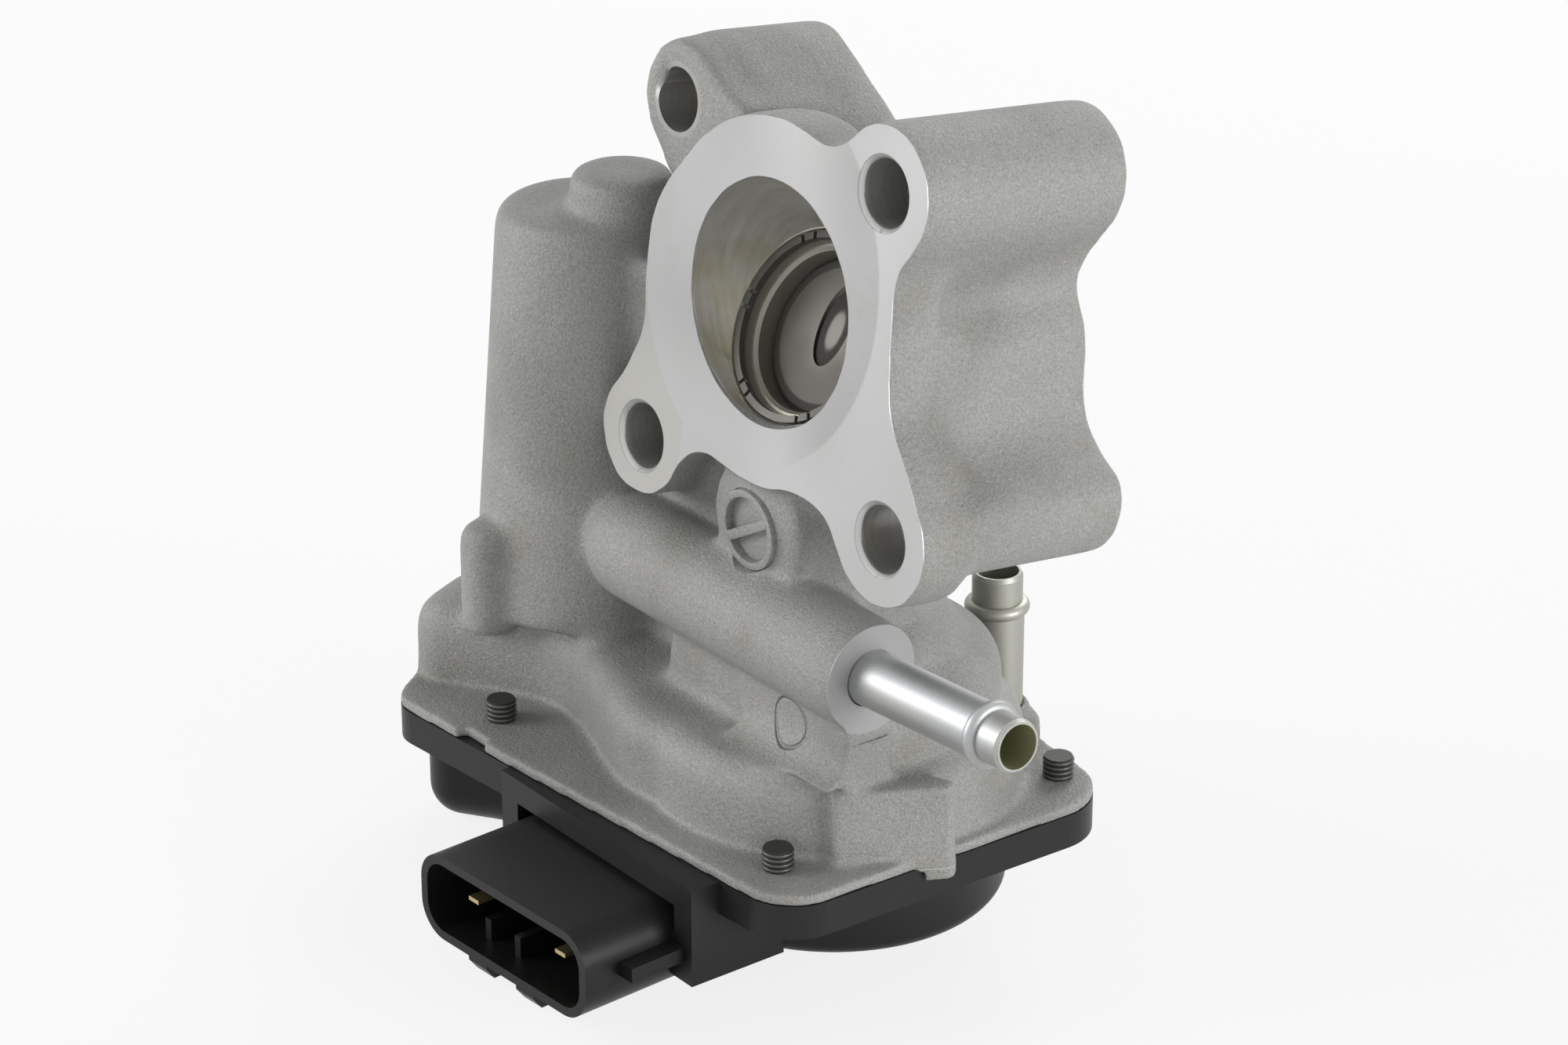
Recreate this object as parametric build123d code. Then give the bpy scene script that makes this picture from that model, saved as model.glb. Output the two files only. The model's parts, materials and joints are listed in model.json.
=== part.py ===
from build123d import *
import os
from math import atan2, cos, degrees, hypot, pi, radians, sin, sqrt, tan

# Electric EGR valve with an inclined butterfly disc, millimetres.
# Origin: centre of the port on the front flange face.
# +Z runs up along the valve shaft, -Y is the front, +X is the side of the front coolant pipe.

# Port and flange
port_tilt = 7.0
port_bore_r = 17.0
port_length = 34.3
flange_rim_r = 25.6
lobe_r = 9.4
flange_web_r = 14.0
flange_blend_r = 7.0
flange_notch = (8.9, 24.5)
flange_neck_r = 7.6
lower_left_lobe = (-25.3, -27.0)
lower_left_lobe_r = 8.9
upper_left_taper = -1.5
flange_right = [
    (28.3, 14.7),
    (26.3, 12.5),
    (25.6, 10.4),
    (25.7, 7.1),
    (25.9, 3.2),
    (26.6, -2.7),
    (27.7, -7.6),
    (30.2, -11.3),
    (34.3, -17.2),
]
flange_low_right = [
    (4.4, -25.3),
    (9.1, -24.3),
    (13.7, -24.5),
    (16.8, -25.9),
    (18.7, -28.1),
    (21.1, -31.0),
    (25.2, -33.3),
    (27.8, -33.8),
]
flange_low_left = [
    (-3.5, -25.6),
    (-7.5, -25.0),
    (-11.4, -25.5),
    (-14.6, -27.2),
    (-16.5, -29.9),
    (-17.8, -32.4),
    (-19.5, -33.9),
    (-22.5, -35.6),
]
flange_left = [
    (-21.8, 13.7),
    (-25.1, 9.3),
    (-27.2, 4.1),
    (-27.6, -1.4),
    (-27.3, -6.7),
    (-26.8, -10.0),
    (-27.6, -13.6),
    (-31.1, -20.5),
]
bolt_hole_r = 4.6
bolt_chamfer = 0.7
boss_upper_right = (21.1, 21.4)
boss_lower_right = (27.9, -24.3)
boss_lower_left = (-25.0, -27.4)
boss_upper_left = (-35.2, 17.9)
upper_left_boss_r = 8.6
upper_left_end_r = 9.2
upper_left_recess = 9.0
upper_left_web_recess = 15.0
front_flange_t = 9.0
rear_core_r = 19.6
rear_low_core_r = 23.0
rear_web_r = 12.0
upper_left_web_r = 6.0
rear_right_side = [
    (29.3, 16.7),
    (23.7, 8.2),
    (23.2, 5.6),
    (25.2, 2.0),
    (26.7, -2.8),
    (27.8, -10.3),
    (31.9, -15.1),
    (36.8, -18.5),
    (37.3, -23.4),
    (32.6, -29.6),
]

# Valve axis, motor axis and levels
valve_y = 11.5
motor_x = -48.5
motor_y = 4.0
plate_top_z = -74.0
plate_t = 1.6
joint_z = plate_top_z - plate_t
case_top_z = -62.0
gear_case_r = 23.7
gear_case_top_z = -52.8
gear_case_round_r = 4.8
gear_pocket_r = 13.6
spring_leg_reach = 15.0
gear_pocket_top_z = -58.2
collar_top_z = -47.4
collar_round_r = 5.6
case_wall = 2.2

# Nozzle and disc, inclined to the valve shaft
nozzle_tilt = 30.0
disc_centre_z = -7.9
nozzle_bore_r = 11.4
nozzle_wall = 2.2
nozzle_front = 4.9
nozzle_back = 3.0
nozzle_lip = 0.5
retainer_r = 13.5
retainer_bore_r = 12.5
retainer_t = 1.0
retainer_notch_w = 2.6
retainer_notch_count = 6
disc_t = 1.8
disc_gap = 0.3
disc_bevel = 0.4
seal_ring_w = 0.8
seal_ring_depth = 1.1
seal_ring_split = 0.4
rear_bore_gap = 4.0
entry_depth = 1.2
funnel_r = 14.0
nozzle_step = 1.15
nozzle_step_r = 12.3
shaft_end_depth = 0.4

# Valve shaft train
shaft_r = 3.0
shaft_top_z = -1.4
running_gap = 0.03
bush_r = 5.0
bush_top_z = -22.0
bush_length = 14.0
shaft_seal_r = 6.5
shaft_seal_top_z = -42.5
shaft_seal_h = 4.0
bearing_r = 7.5
bearing_h = 5.0
bearing_top_z = -53.0
bearing_outer_wall = 1.3
bearing_inner_wall = 1.2
ball_count = 8
ball_clearance = 0.05
column_r = 13.0
collar_r = 18.3

# Gear train
first_module = 0.8
second_module = 1.0
pinion_teeth = 16
idler_large_teeth = 38
idler_small_teeth = 14
sector_teeth = 43
pressure_angle = 25.0
backlash = 0.16
tooth_root_clearance = 0.25
mesh_extra = 0.05
pinion_top_z = -68.3
pinion_h = 8.0
idler_large_top_z = -70.0
idler_large_h = 4.5
idler_small_h = 10.0
idler_pin_r = 2.0
idler_hub_r = 4.2
sector_top_z = -79.0
sector_h = 5.0
sector_travel = 80.0
sector_margin = 26.0
sector_hub_r = 8.0
sector_hub_top_z = -76.5
sector_hub_bottom_z = -87.2
sensor_cup_r = 5.6
sensor_cup_depth = 6.0
sensor_r = 3.5
magnet_t = 1.2
magnet_h = 5.0
spring_post_r = 1.5
spring_post_at = 11.5

# Return spring
spring_r = 11.0
spring_wire_r = 0.7
spring_pitch = 1.9
spring_turns = 4.0
spring_top_z = -62.5
spring_guide_r = 9.6
spring_guide_wall = 1.0

# Motor
motor_r = 10.2
motor_gap = 0.25
motor_top_z = -5.5
motor_plate_t = 2.0
motor_plate_top_z = -64.2
motor_plate_r = 12.0
motor_screw_spread = 14.0
motor_ear_angle = -45.0
motor_screw_r = 1.5
motor_boss_r = 4.0
motor_shaft_r = 1.5
motor_collar_r = 4.0
motor_collar_h = 1.5
motor_flat = 8.6
motor_round_r = 0.8
motor_shaft_room = 0.3
motor_shaft_reach = 10.0
motor_shaft_end = 0.6
motor_ear_r = 3.6
motor_thread_l = 7.0
motor_head_r = 2.7
motor_head_h = 1.8
motor_head_round_r = 0.6
motor_screw_room = 0.1
washer_t = 0.5
washer_foot_r = 8.0
washer_top_r = 6.0
washer_bore_r = 4.6
housing_top_z = -0.7
housing_top_r = 12.4
housing_foot_r = 17.0
small_boss_r = 4.0
small_boss_at = (-50.2, -13.0)
small_boss_top_z = -46.8
top_pad_r = 7.6
top_pad_at = (-43.6, 7.4)
top_pad_h = 5.6

# Plan of the case and of the flange plate
case_r = 27.0
case_corner = (-62.6, -20.4)
case_left_x = -68.4
case_left_front_y = -7.2
case_left_back_y = 18.0
case_back = (-50.0, 31.0)
case_waist = [(-50.0, -12.6), (-41.0, -8.6), (-31.5, -9.4), (-19.5, -13.6)]
case_arc_start = -105.0
case_arc_end = 97.0
case_corner_r = 6.0
case_tip_r = 5.5
case_round_r = 4.5
plate_corners = [
    ((-57.5, -25.0), 6.0),
    ((27.6, -18.6), 8.0),
    ((29.4, 39.0), 9.0),
    ((10.0, 41.2), 6.0),
    ((4.0, 47.0), 6.0),
    ((-70.0, 35.0), 6.0),
    ((-70.0, -7.0), 6.0),
]
screw_points = [(-41.9, -16.8), (18.4, -12.6), (21.2, 35.4), (-63.6, 27.4)]

# Cover
cover_rim_t = 5.1
cover_floor_z = -90.8
cover_wall = 1.8
cover_inset = 2.2
gasket_w = 1.8
gasket_h = 1.4
gasket_squeeze = 0.3
dome_round_r = 2.2
bulge_inset = 0.7
bulge_floor_z = -98.0
bulge_round_r = 5.2
bulge_right_x = -32.0
screw_r = 2.0
screw_head_r = 3.6
screw_head_h = 2.6
screw_stick_out = 3.2
screw_gap = 0.2
base_left_x = -31.0
base_right_x = 14.4
base_floor_z = -90.5
base_front_y = -24.4

# Connector
shell_left_x = -27.4
shell_right_x = 9.8
shell_top_z = -80.1
shell_bottom_z = -93.4
shell_front_y = -40.5
shell_wall = 1.4
connector_turn = 2.9
shell_round_r = 5.0
socket_depth = 14.0
terminal_count = 5
terminal_w = 2.2
terminal_t = 0.64
terminal_pitch = 4.9
terminal_tip_gap = 3.0
terminal_short = 4.0
terminal_shift = 0.6
key_rib_w = 1.3
key_rib_h = 3.2
key_rib_x = (-16.6, -9.9)
key_rib_gap = 3.5
latch_w = 4.0
latch_h = 3.0
latch_length = 6.0
latch_x = (-15.5, -4.7)

# Coolant parts
gallery_r = 7.9
gallery_y = -1.0
gallery_z = -46.4
gallery_left_x = -29.0
gallery_right_x = 24.0
gallery_bore_r = 3.2
pipe_r = 4.0
pipe_wall = 0.9
pipe_bead_r = 4.75
pipe_bead_w = 2.0
pipe_tip = 4.4
pipe_tip_r = 3.7
pipe_seat = 9.0
front_pipe_length = 30.5
front_pipe_rise = 3.5
rear_pipe_at = (0.0, 41.5)
rear_pipe_length = 20.0
rear_boss_r = 5.0
rear_boss_top_z = -71.5
rear_pipe_seat = 3.6
rear_pipe_gap = 0.35

# Cast details
block_left_x = 1.0
block_front_y = -5.2
block_back_y = 3.0
block_foot_r = 5.5
web_front_y = -4.6
mark_at = (11.9, -56.6)
mark_r = 3.4
mark_w = 0.5
mark_depth = 0.35
core_boss_r = 10.0
core_boss_x = -1.2
core_boss_z = -33.2
core_boss_front_y = -1.7
core_ring_r = 5.8
core_ring_wall = 1.1
core_ring_h = 1.3
core_bar_w = 1.5
core_bar_angle = 29.0
fin_points = [(23.0, -6.5), (30.8, 8.0), (29.8, 9.8), (26.0, 8.0), (18.0, -2.0)]
fin_top_z = -63.0
fin_bottom_z = -77.4
fin_outer_x = 28.8
fin_reach = 20.0
notch_left_x = -42.8
notch_right_x = -37.2
notch_depth = 1.6
notch_h = 1.6
bridge_top_z = -5.0
bridge_front_y = 3.0
bridge_back_y = 11.0

# Derived places
upward = (Align.CENTER, Align.CENTER, Align.MIN)
tilt_rad = radians(port_tilt)
port_back = Vector(0, cos(tilt_rad), -sin(tilt_rad))
face_plane = Plane(origin=(0, 0, 0), x_dir=(1, 0, 0), z_dir=-port_back)
nozzle_rad = radians(nozzle_tilt)
disc_centre = Vector(0, valve_y, disc_centre_z)
nozzle_axis = Vector(0, -cos(nozzle_rad), sin(nozzle_rad))
disc_plane = Plane(origin=disc_centre, x_dir=(1, 0, 0), z_dir=nozzle_axis)
nozzle_r = nozzle_bore_r + nozzle_wall
disc_r = nozzle_bore_r - disc_gap
sector_r = second_module * sector_teeth / 2
idler_small_r = second_module * idler_small_teeth / 2
idler_large_r = first_module * idler_large_teeth / 2
pinion_r = first_module * pinion_teeth / 2
first_centres = pinion_r + idler_large_r + mesh_extra
second_centres = idler_small_r + sector_r + mesh_extra
idler_small_top_z = idler_large_top_z - idler_large_h
idler_bottom_z = idler_small_top_z - idler_small_h
cover_inner_z = cover_floor_z + cover_wall


def idler_place():
    """Axis of the idler, behind the line from motor to valve."""
    across = hypot(motor_x, valve_y - motor_y)
    along = (across**2 + first_centres**2 - second_centres**2) / (2 * across)
    offset = sqrt(first_centres**2 - along**2)
    unit = ((0 - motor_x) / across, (valve_y - motor_y) / across)
    x = motor_x + along * unit[0] - offset * unit[1]
    y = motor_y + along * unit[1] + offset * unit[0]
    return x, y


idler_x, idler_y = idler_place()
idler_angle = degrees(atan2(idler_y - valve_y, idler_x))
motor_angle = degrees(atan2(motor_y - idler_y, motor_x - idler_x))


def rod(radius, top_z, height, x=0.0, y=0.0):
    """Upright cylinder that hangs down from top_z."""
    return Pos(x, y, top_z - height / 2) * Cylinder(radius, height)


def tube(radius, bore, top_z, height, x=0.0, y=0.0):
    """Upright ring that hangs down from top_z."""
    return rod(radius, top_z, height, x, y) - rod(bore, top_z, height, x, y)


def slab(left, right, front, back, bottom, top):
    """Box between six faces."""
    centre = ((left + right) / 2, (front + back) / 2, (bottom + top) / 2)
    return Pos(*centre) * Box(right - left, back - front, top - bottom)


def face_rod(radius, at, front, back):
    """Cylinder along the port, between two depths behind the flange face."""
    sketch = face_plane.offset(-front) * Pos(*at) * Circle(radius)
    return extrude(sketch, amount=-(back - front))


def disc_rod(radius, front, back):
    """Cylinder along the nozzle, between two distances in front of the disc centre."""
    return extrude(disc_plane.offset(back) * Circle(radius), amount=front - back)


def rounded_top(solid, radius):
    """Solid with its top edges rounded."""
    top = solid.faces().sort_by(Axis.Z)[-1]
    return fillet(top.edges(), radius)


def rounded_bottom(solid, radius):
    """Solid with its bottom edges rounded."""
    bottom = solid.faces().sort_by(Axis.Z)[0]
    return fillet(bottom.edges(), radius)


def plate_outline():
    """Plan of the flange plate and of the cover rim."""
    outline = Polygon(*[at for at, _ in plate_corners], align=None)
    for at, radius in plate_corners:
        corner = outline.vertices().sort_by_distance((*at, 0))[0]
        outline = fillet(corner, radius)
    return outline


def case_outline(inset=0.0):
    """Plan of the gear case: an arc round the valve, a waist beside the front screw."""
    reach = case_r - inset
    start = radians(case_arc_start)
    end = radians(case_arc_end)
    arc_start = (reach * cos(start), valve_y + reach * sin(start))
    arc_end = (reach * cos(end), valve_y + reach * sin(end))
    tip = (case_corner[0] + inset * 1.2, case_corner[1] + inset * 1.6)
    waist = [tip] + [(x, y + inset) for x, y in case_waist] + [arc_start]
    left_x = case_left_x + inset
    back = (case_back[0], case_back[1] - inset)
    corners = [back, (left_x, case_left_back_y), (left_x, case_left_front_y)]
    with BuildSketch() as sketch:
        with BuildLine():
            Spline(*waist)
            ThreePointArc(arc_start, (reach, valve_y), arc_end)
            Polyline(arc_end, *corners, tip)
        make_face()
        picked = [sketch.vertices().sort_by_distance((x, y, 0))[0] for x, y in corners]
        fillet(picked, case_corner_r)
        fillet(sketch.vertices().sort_by_distance((*tip, 0))[0], case_tip_r)
    return sketch.sketch


def upright(sketch, bottom, top):
    """Prism on a plan, between two heights."""
    return extrude(Pos(0, 0, bottom) * sketch, amount=top - bottom)


def fan(points):
    """Plan between the middle of the port and a smooth line through points."""
    side = Line((0, 0), points[0]) + Spline(*points) + Line(points[-1], (0, 0))
    return make_face(side)


def flange_outline():
    """Front flange: a round rim with three lobes and soft waists."""
    outline = Circle(flange_rim_r) + Pos(*boss_upper_right) * Circle(lobe_r)
    outline = outline + Pos(*boss_lower_right) * Circle(lobe_r)
    outline = outline + Pos(*lower_left_lobe) * Circle(lower_left_lobe_r)
    for boss in (boss_lower_right, lower_left_lobe):
        neck = Circle(flange_neck_r) + Pos(*boss) * Circle(flange_neck_r)
        outline = outline + make_hull(neck.edges())
    corner = outline.vertices().sort_by_distance((*flange_notch, 0))[0]
    outline = fillet(corner, flange_blend_r)
    for points in (flange_right, flange_low_right, flange_low_left, flange_left):
        outline = outline + fan(points)
    return outline


def rear_outline():
    """Port body behind the front flange: thin at the top, with soft lobes at the bolts."""
    low_side = Pos(0, -rear_low_core_r) * Rectangle(2 * rear_low_core_r, 2 * rear_low_core_r)
    outline = Circle(rear_core_r) + (Circle(rear_low_core_r) & low_side)
    right = Pos(*boss_upper_right) * Circle(lobe_r)
    left = Pos(*lower_left_lobe) * Circle(lower_left_lobe_r)
    outline = outline + make_hull((Circle(flange_web_r) + right).edges())
    outline = outline + make_hull((Circle(rear_web_r) + left).edges())
    return outline + fan(rear_right_side)


def casting_body():
    """Outer form of the casting, before its bores."""
    port = extrude(face_plane * flange_outline(), amount=-front_flange_t)
    behind = face_plane.offset(-front_flange_t) * rear_outline()
    port = port + extrude(behind, amount=-(port_length - front_flange_t))
    lobe = Pos(*boss_upper_left) * Circle(upper_left_boss_r)
    boss_plane = face_plane.offset(-upper_left_recess)
    boss_depth = port_length - upper_left_recess
    boss = extrude(boss_plane * lobe, amount=-boss_depth, taper=upper_left_taper)
    end = Pos(*boss_upper_left) * Circle(upper_left_end_r)
    web = make_hull((Circle(upper_left_web_r) + end).edges())
    web_depth = port_length - upper_left_web_recess
    arm = extrude(face_plane.offset(-upper_left_web_recess) * web, amount=-web_depth)
    height = housing_top_z - case_top_z
    motor = Pos(motor_x, motor_y, case_top_z + height / 2) * Cone(
        housing_foot_r, housing_top_r, height
    )
    motor = rounded_top(motor, 2.4)
    pad = rounded_top(rod(top_pad_r, housing_top_z + top_pad_h, top_pad_h + 8, *top_pad_at), 1.6)
    small_boss = rod(
        small_boss_r, small_boss_top_z, small_boss_top_z - case_top_z + 2, *small_boss_at
    )
    small_boss = rounded_top(small_boss, 2.2)
    plate = upright(plate_outline(), joint_z, plate_top_z)
    case = rounded_top(upright(case_outline(), joint_z, case_top_z), case_round_r)
    gear_case = rod(gear_case_r, gear_case_top_z, gear_case_top_z - plate_top_z, 0, valve_y)
    collar = rod(collar_r, collar_top_z, collar_top_z - plate_top_z, 0, valve_y)
    upper = rounded_top(gear_case, gear_case_round_r) + rounded_top(collar, collar_round_r)
    flat = slab(-2 * case_r, 2 * case_r, web_front_y - case_r, web_front_y, case_top_z, collar_top_z)
    upper = upper - flat
    column = rod(column_r, -15.0, 45, 0, valve_y)
    bridge = slab(
        motor_x + 8, -8, bridge_front_y, bridge_back_y, case_top_z - 2, bridge_top_z
    )
    body = port + boss + arm + motor + pad + small_boss + plate + case
    return body + upper + column + bridge


def gallery_body():
    """Coolant gallery with its end block, the fin and the core boss."""
    length = gallery_right_x - gallery_left_x
    middle = (gallery_left_x + gallery_right_x) / 2
    gallery = Pos(middle, gallery_y, gallery_z) * Rot(0, 90, 0) * Cylinder(gallery_r, length)
    gallery = gallery + Pos(gallery_left_x, gallery_y, gallery_z) * Sphere(gallery_r)
    block = slab(
        block_left_x, gallery_right_x, block_front_y, block_back_y, case_top_z - 1, gallery_z
    )
    foot_front = block_front_y - block_foot_r
    foot_top = case_top_z + block_foot_r
    foot = slab(block_left_x, gallery_right_x, foot_front, block_front_y, case_top_z, foot_top)
    foot = foot - along_x(block_foot_r, block_left_x - 1, gallery_right_x + 1, foot_front, foot_top)
    depth = valve_y - core_boss_front_y
    core = Pos(core_boss_x, core_boss_front_y + depth / 2, core_boss_z) * Rot(90, 0, 0) * Cylinder(
        core_boss_r, depth
    )
    plan = Polygon(*fin_points, align=None)
    outer = Pos(fin_outer_x + fin_reach, 0) * Rectangle(2 * fin_reach, 2 * fin_reach)
    fin = upright(plan, joint_z, fin_top_z) + upright(plan & outer, fin_bottom_z, fin_top_z)
    return gallery + block + foot + core + core_mark() + fin


def core_mark():
    """Raised ring with a slanting bar on the core boss."""
    plane = Plane(origin=(core_boss_x, core_boss_front_y, core_boss_z), x_dir=(1, 0, 0), z_dir=(0, -1, 0))
    ring = Circle(core_ring_r) - Circle(core_ring_r - core_ring_wall)
    bar = Rot(0, 0, core_bar_angle) * Rectangle(2 * core_ring_r - core_ring_wall, core_bar_w)
    return extrude(plane * (ring + bar), amount=core_ring_h)


def port_voids():
    """Port bore in front of and behind the inclined nozzle seat."""
    reach = 4 * port_bore_r
    bore = face_rod(port_bore_r, (0, 0), 0, port_length + 2)
    behind = extrude(disc_plane.offset(-rear_bore_gap) * Rectangle(reach, reach), amount=-reach)
    entry = face_rod(port_bore_r, (0, 0), -1, entry_depth)
    mouth = face_plane.offset(-entry_depth) * Circle(port_bore_r)
    funnel = loft([mouth, disc_plane.offset(nozzle_front + retainer_t) * Circle(funnel_r)])
    seat = disc_rod(nozzle_r, nozzle_front + retainer_t, -nozzle_back)
    throat = disc_rod(nozzle_bore_r, nozzle_front, -2 * rear_bore_gap)
    return entry + funnel + (bore & behind) + seat + throat


def bolt_voids():
    """Four bolt holes with a bright chamfer on the machined bosses."""
    voids = []
    bosses = [boss_upper_right, boss_lower_right, boss_lower_left]
    for boss in bosses:
        rim = face_plane * Pos(*boss) * Circle(bolt_hole_r + bolt_chamfer)
        voids.append(extrude(rim, amount=-bolt_chamfer, taper=45))
        voids.append(face_rod(bolt_hole_r, boss, -1, port_length + 1))
    voids.append(face_rod(bolt_hole_r, boss_upper_left, upper_left_recess - 1, port_length + 1))
    return voids


def shaft_voids():
    """Stepped bore for the bush, the shaft seal and the ball bearing."""
    return [
        rod(shaft_r + 0.4, disc_centre_z - port_bore_r / 2, 46, 0, valve_y),
        rod(bush_r, bush_top_z, shaft_seal_top_z * -1 + bush_top_z, 0, valve_y),
        rod(shaft_seal_r, shaft_seal_top_z, shaft_seal_top_z - bearing_top_z, 0, valve_y),
        rod(bearing_r, bearing_top_z, 12, 0, valve_y),
    ]


def valve_housing():
    """Machined casting."""
    body = casting_body() + gallery_body()
    motor_bore_top = motor_top_z + 2 * washer_t
    voids = [
        port_voids(),
        upright(case_outline(case_wall), joint_z - 1, case_top_z - case_wall),
        rod(gear_pocket_r, gear_pocket_top_z, gear_pocket_top_z - plate_top_z, 0, valve_y),
        rod(motor_r + motor_gap, motor_bore_top, motor_bore_top - case_top_z + 6, motor_x, motor_y),
    ]
    voids = voids + bolt_voids() + shaft_voids()
    for void in voids:
        body = body - void
    ceiling = case_top_z - case_wall
    pin_boss = rod(5.0, ceiling + 0.5, ceiling + 0.5 - idler_large_top_z - 0.6, idler_x, idler_y)
    rear_boss = rod(rear_boss_r, rear_boss_top_z, rear_boss_top_z - joint_z, *rear_pipe_at)
    body = body + pin_boss + rear_boss
    cuts = [
        rod(idler_pin_r, ceiling - 1.0, 20, idler_x, idler_y),
        along_x(gallery_bore_r, gallery_left_x, gallery_right_x, gallery_y, gallery_z),
        front_pipe_place() * Cylinder(pipe_r, pipe_seat + 1, align=upward),
        rod(pipe_r, rear_boss_top_z + 1, rear_pipe_seat + 1, *rear_pipe_at),
        rod(pipe_r + rear_pipe_gap, collar_top_z, collar_top_z - rear_boss_top_z, *rear_pipe_at),
        slab(notch_left_x, notch_right_x, -30, -24 + notch_depth, joint_z - 1, joint_z + notch_h),
        block_mark(),
        spring_leg(spring_leg_reach),
    ]
    for x, y in screw_points:
        cuts.append(rod(screw_r, plate_top_z + 1, plate_t + 2, x, y))
    for x, y in motor_screw_places():
        cuts.append(rod(motor_screw_r, ceiling + motor_thread_l, 1.5 * motor_thread_l, x, y))
    for cut in cuts:
        body = body - cut
    return body


def along_x(radius, left, right, y, z):
    """Cylinder along X between two ends."""
    return Pos((left + right) / 2, y, z) * Rot(0, 90, 0) * Cylinder(radius, right - left)


def block_mark():
    """Shallow round mark on the front of the gallery block."""
    plane = Plane(
        origin=(mark_at[0], block_front_y, mark_at[1]), x_dir=(1, 0, 0), z_dir=(0, -1, 0)
    )
    ring = Circle(mark_r) - Circle(mark_r - mark_w)
    return extrude(plane * ring, amount=-mark_depth)


def motor_screw_places():
    """Two screws across the motor."""
    places = []
    for turn in (90, -90):
        angle = radians(motor_ear_angle + turn)
        x = motor_x + motor_screw_spread * cos(angle)
        y = motor_y + motor_screw_spread * sin(angle)
        places.append((x, y))
    return places


def nozzle():
    """Seat tube, with a bright lead-in at its front bore."""
    body = disc_rod(nozzle_r, nozzle_front, -nozzle_back)
    body = body - disc_rod(nozzle_bore_r, nozzle_front, -nozzle_back)
    body = body - disc_rod(nozzle_step_r, nozzle_front, nozzle_front - nozzle_step)
    rim = disc_plane.offset(nozzle_front - nozzle_step) * Circle(nozzle_bore_r + nozzle_lip)
    return body - extrude(rim, amount=-nozzle_lip, taper=45)


def nozzle_retainer():
    """Ring on the nozzle front, with slots beside its staked tabs."""
    body = disc_rod(retainer_r, nozzle_front + retainer_t, nozzle_front)
    body = body - disc_rod(retainer_bore_r, nozzle_front + retainer_t, nozzle_front)
    top = disc_plane.offset(nozzle_front + retainer_t)
    for index in range(retainer_notch_count):
        for side in (-1, 1):
            angle = 360 * index / retainer_notch_count + side * 5
            place = Rot(0, 0, angle) * Pos(retainer_r, 0) * Rectangle(retainer_notch_w, 0.6)
            body = body - extrude(top * place, amount=-0.6 * retainer_t)
    return body


def valve_disc():
    """Disc with a bevelled rim, a ring groove and an inclined bore for the shaft."""
    body = disc_rod(disc_r, disc_t / 2, -disc_t / 2)
    front = body.faces().sort_by(Axis(disc_centre, nozzle_axis))[-1]
    body = chamfer(front.edges(), disc_bevel)
    groove = disc_rod(disc_r + 1, seal_ring_w / 2, -seal_ring_w / 2)
    groove = groove - disc_rod(disc_r - seal_ring_depth, seal_ring_w / 2, -seal_ring_w / 2)
    return body - groove - rod(shaft_r, 30, 90, 0, valve_y)


def disc_seal_ring():
    """Split ring that seals against the nozzle bore."""
    outer = nozzle_bore_r - 0.08
    inner = disc_r - seal_ring_depth
    body = disc_rod(outer, seal_ring_w / 2, -seal_ring_w / 2)
    body = body - disc_rod(inner, seal_ring_w / 2, -seal_ring_w / 2)
    gap = Pos(0, outer) * Rectangle(seal_ring_split, 4 * seal_ring_depth)
    return body - extrude(disc_plane.offset(-seal_ring_w) * gap, amount=2 * seal_ring_w)


def valve_shaft():
    """Steel shaft from the sector hub to the disc."""
    bottom = sector_hub_bottom_z + sensor_cup_depth + 0.5
    body = rod(shaft_r, shaft_top_z, shaft_top_z - bottom, 0, valve_y)
    reach = 8 * shaft_r
    ahead = disc_plane.offset(disc_t / 2 - shaft_end_depth) * Rectangle(reach, reach)
    return body - extrude(ahead, amount=reach)


def shaft_bush():
    """Upper plain bearing under the port."""
    return tube(bush_r, shaft_r + running_gap, bush_top_z, bush_length, 0, valve_y)


def shaft_seal():
    """Lip seal above the ball bearing."""
    body = tube(
        shaft_seal_r, shaft_r + 1.2, shaft_seal_top_z, shaft_seal_h, 0, valve_y
    )
    lip = tube(shaft_r + 1.3, shaft_r + 0.06, shaft_seal_top_z - 1, 1.2, 0, valve_y)
    return body + lip


def bearing_groove():
    """Ball track shared by both bearing rings."""
    middle_r = bearing_track_r()
    z = bearing_top_z - bearing_h / 2
    return Pos(0, valve_y, z) * Torus(middle_r, ball_r() + ball_clearance)


def bearing_track_r():
    """Radius of the ball circle."""
    return (bearing_r - bearing_outer_wall + shaft_r + bearing_inner_wall) / 2


def ball_r():
    """Ball radius, a little more than half the space between the rings."""
    space = bearing_r - bearing_outer_wall - shaft_r - bearing_inner_wall
    return space / 2 + 0.3


def bearing_outer_ring():
    """Outer ring of the ball bearing."""
    ring = tube(bearing_r, bearing_r - bearing_outer_wall, bearing_top_z, bearing_h, 0, valve_y)
    return ring - bearing_groove()


def bearing_inner_ring():
    """Inner ring of the ball bearing, on the shaft."""
    ring = tube(shaft_r + bearing_inner_wall, shaft_r, bearing_top_z, bearing_h, 0, valve_y)
    return ring - bearing_groove()


def bearing_balls():
    """Balls of the bearing."""
    balls = []
    z = bearing_top_z - bearing_h / 2
    for index in range(ball_count):
        angle = 2 * pi * index / ball_count
        x = bearing_track_r() * cos(angle)
        y = valve_y + bearing_track_r() * sin(angle)
        balls.append(Pos(x, y, z) * Sphere(ball_r()))
    return Compound(children=balls)


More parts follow.
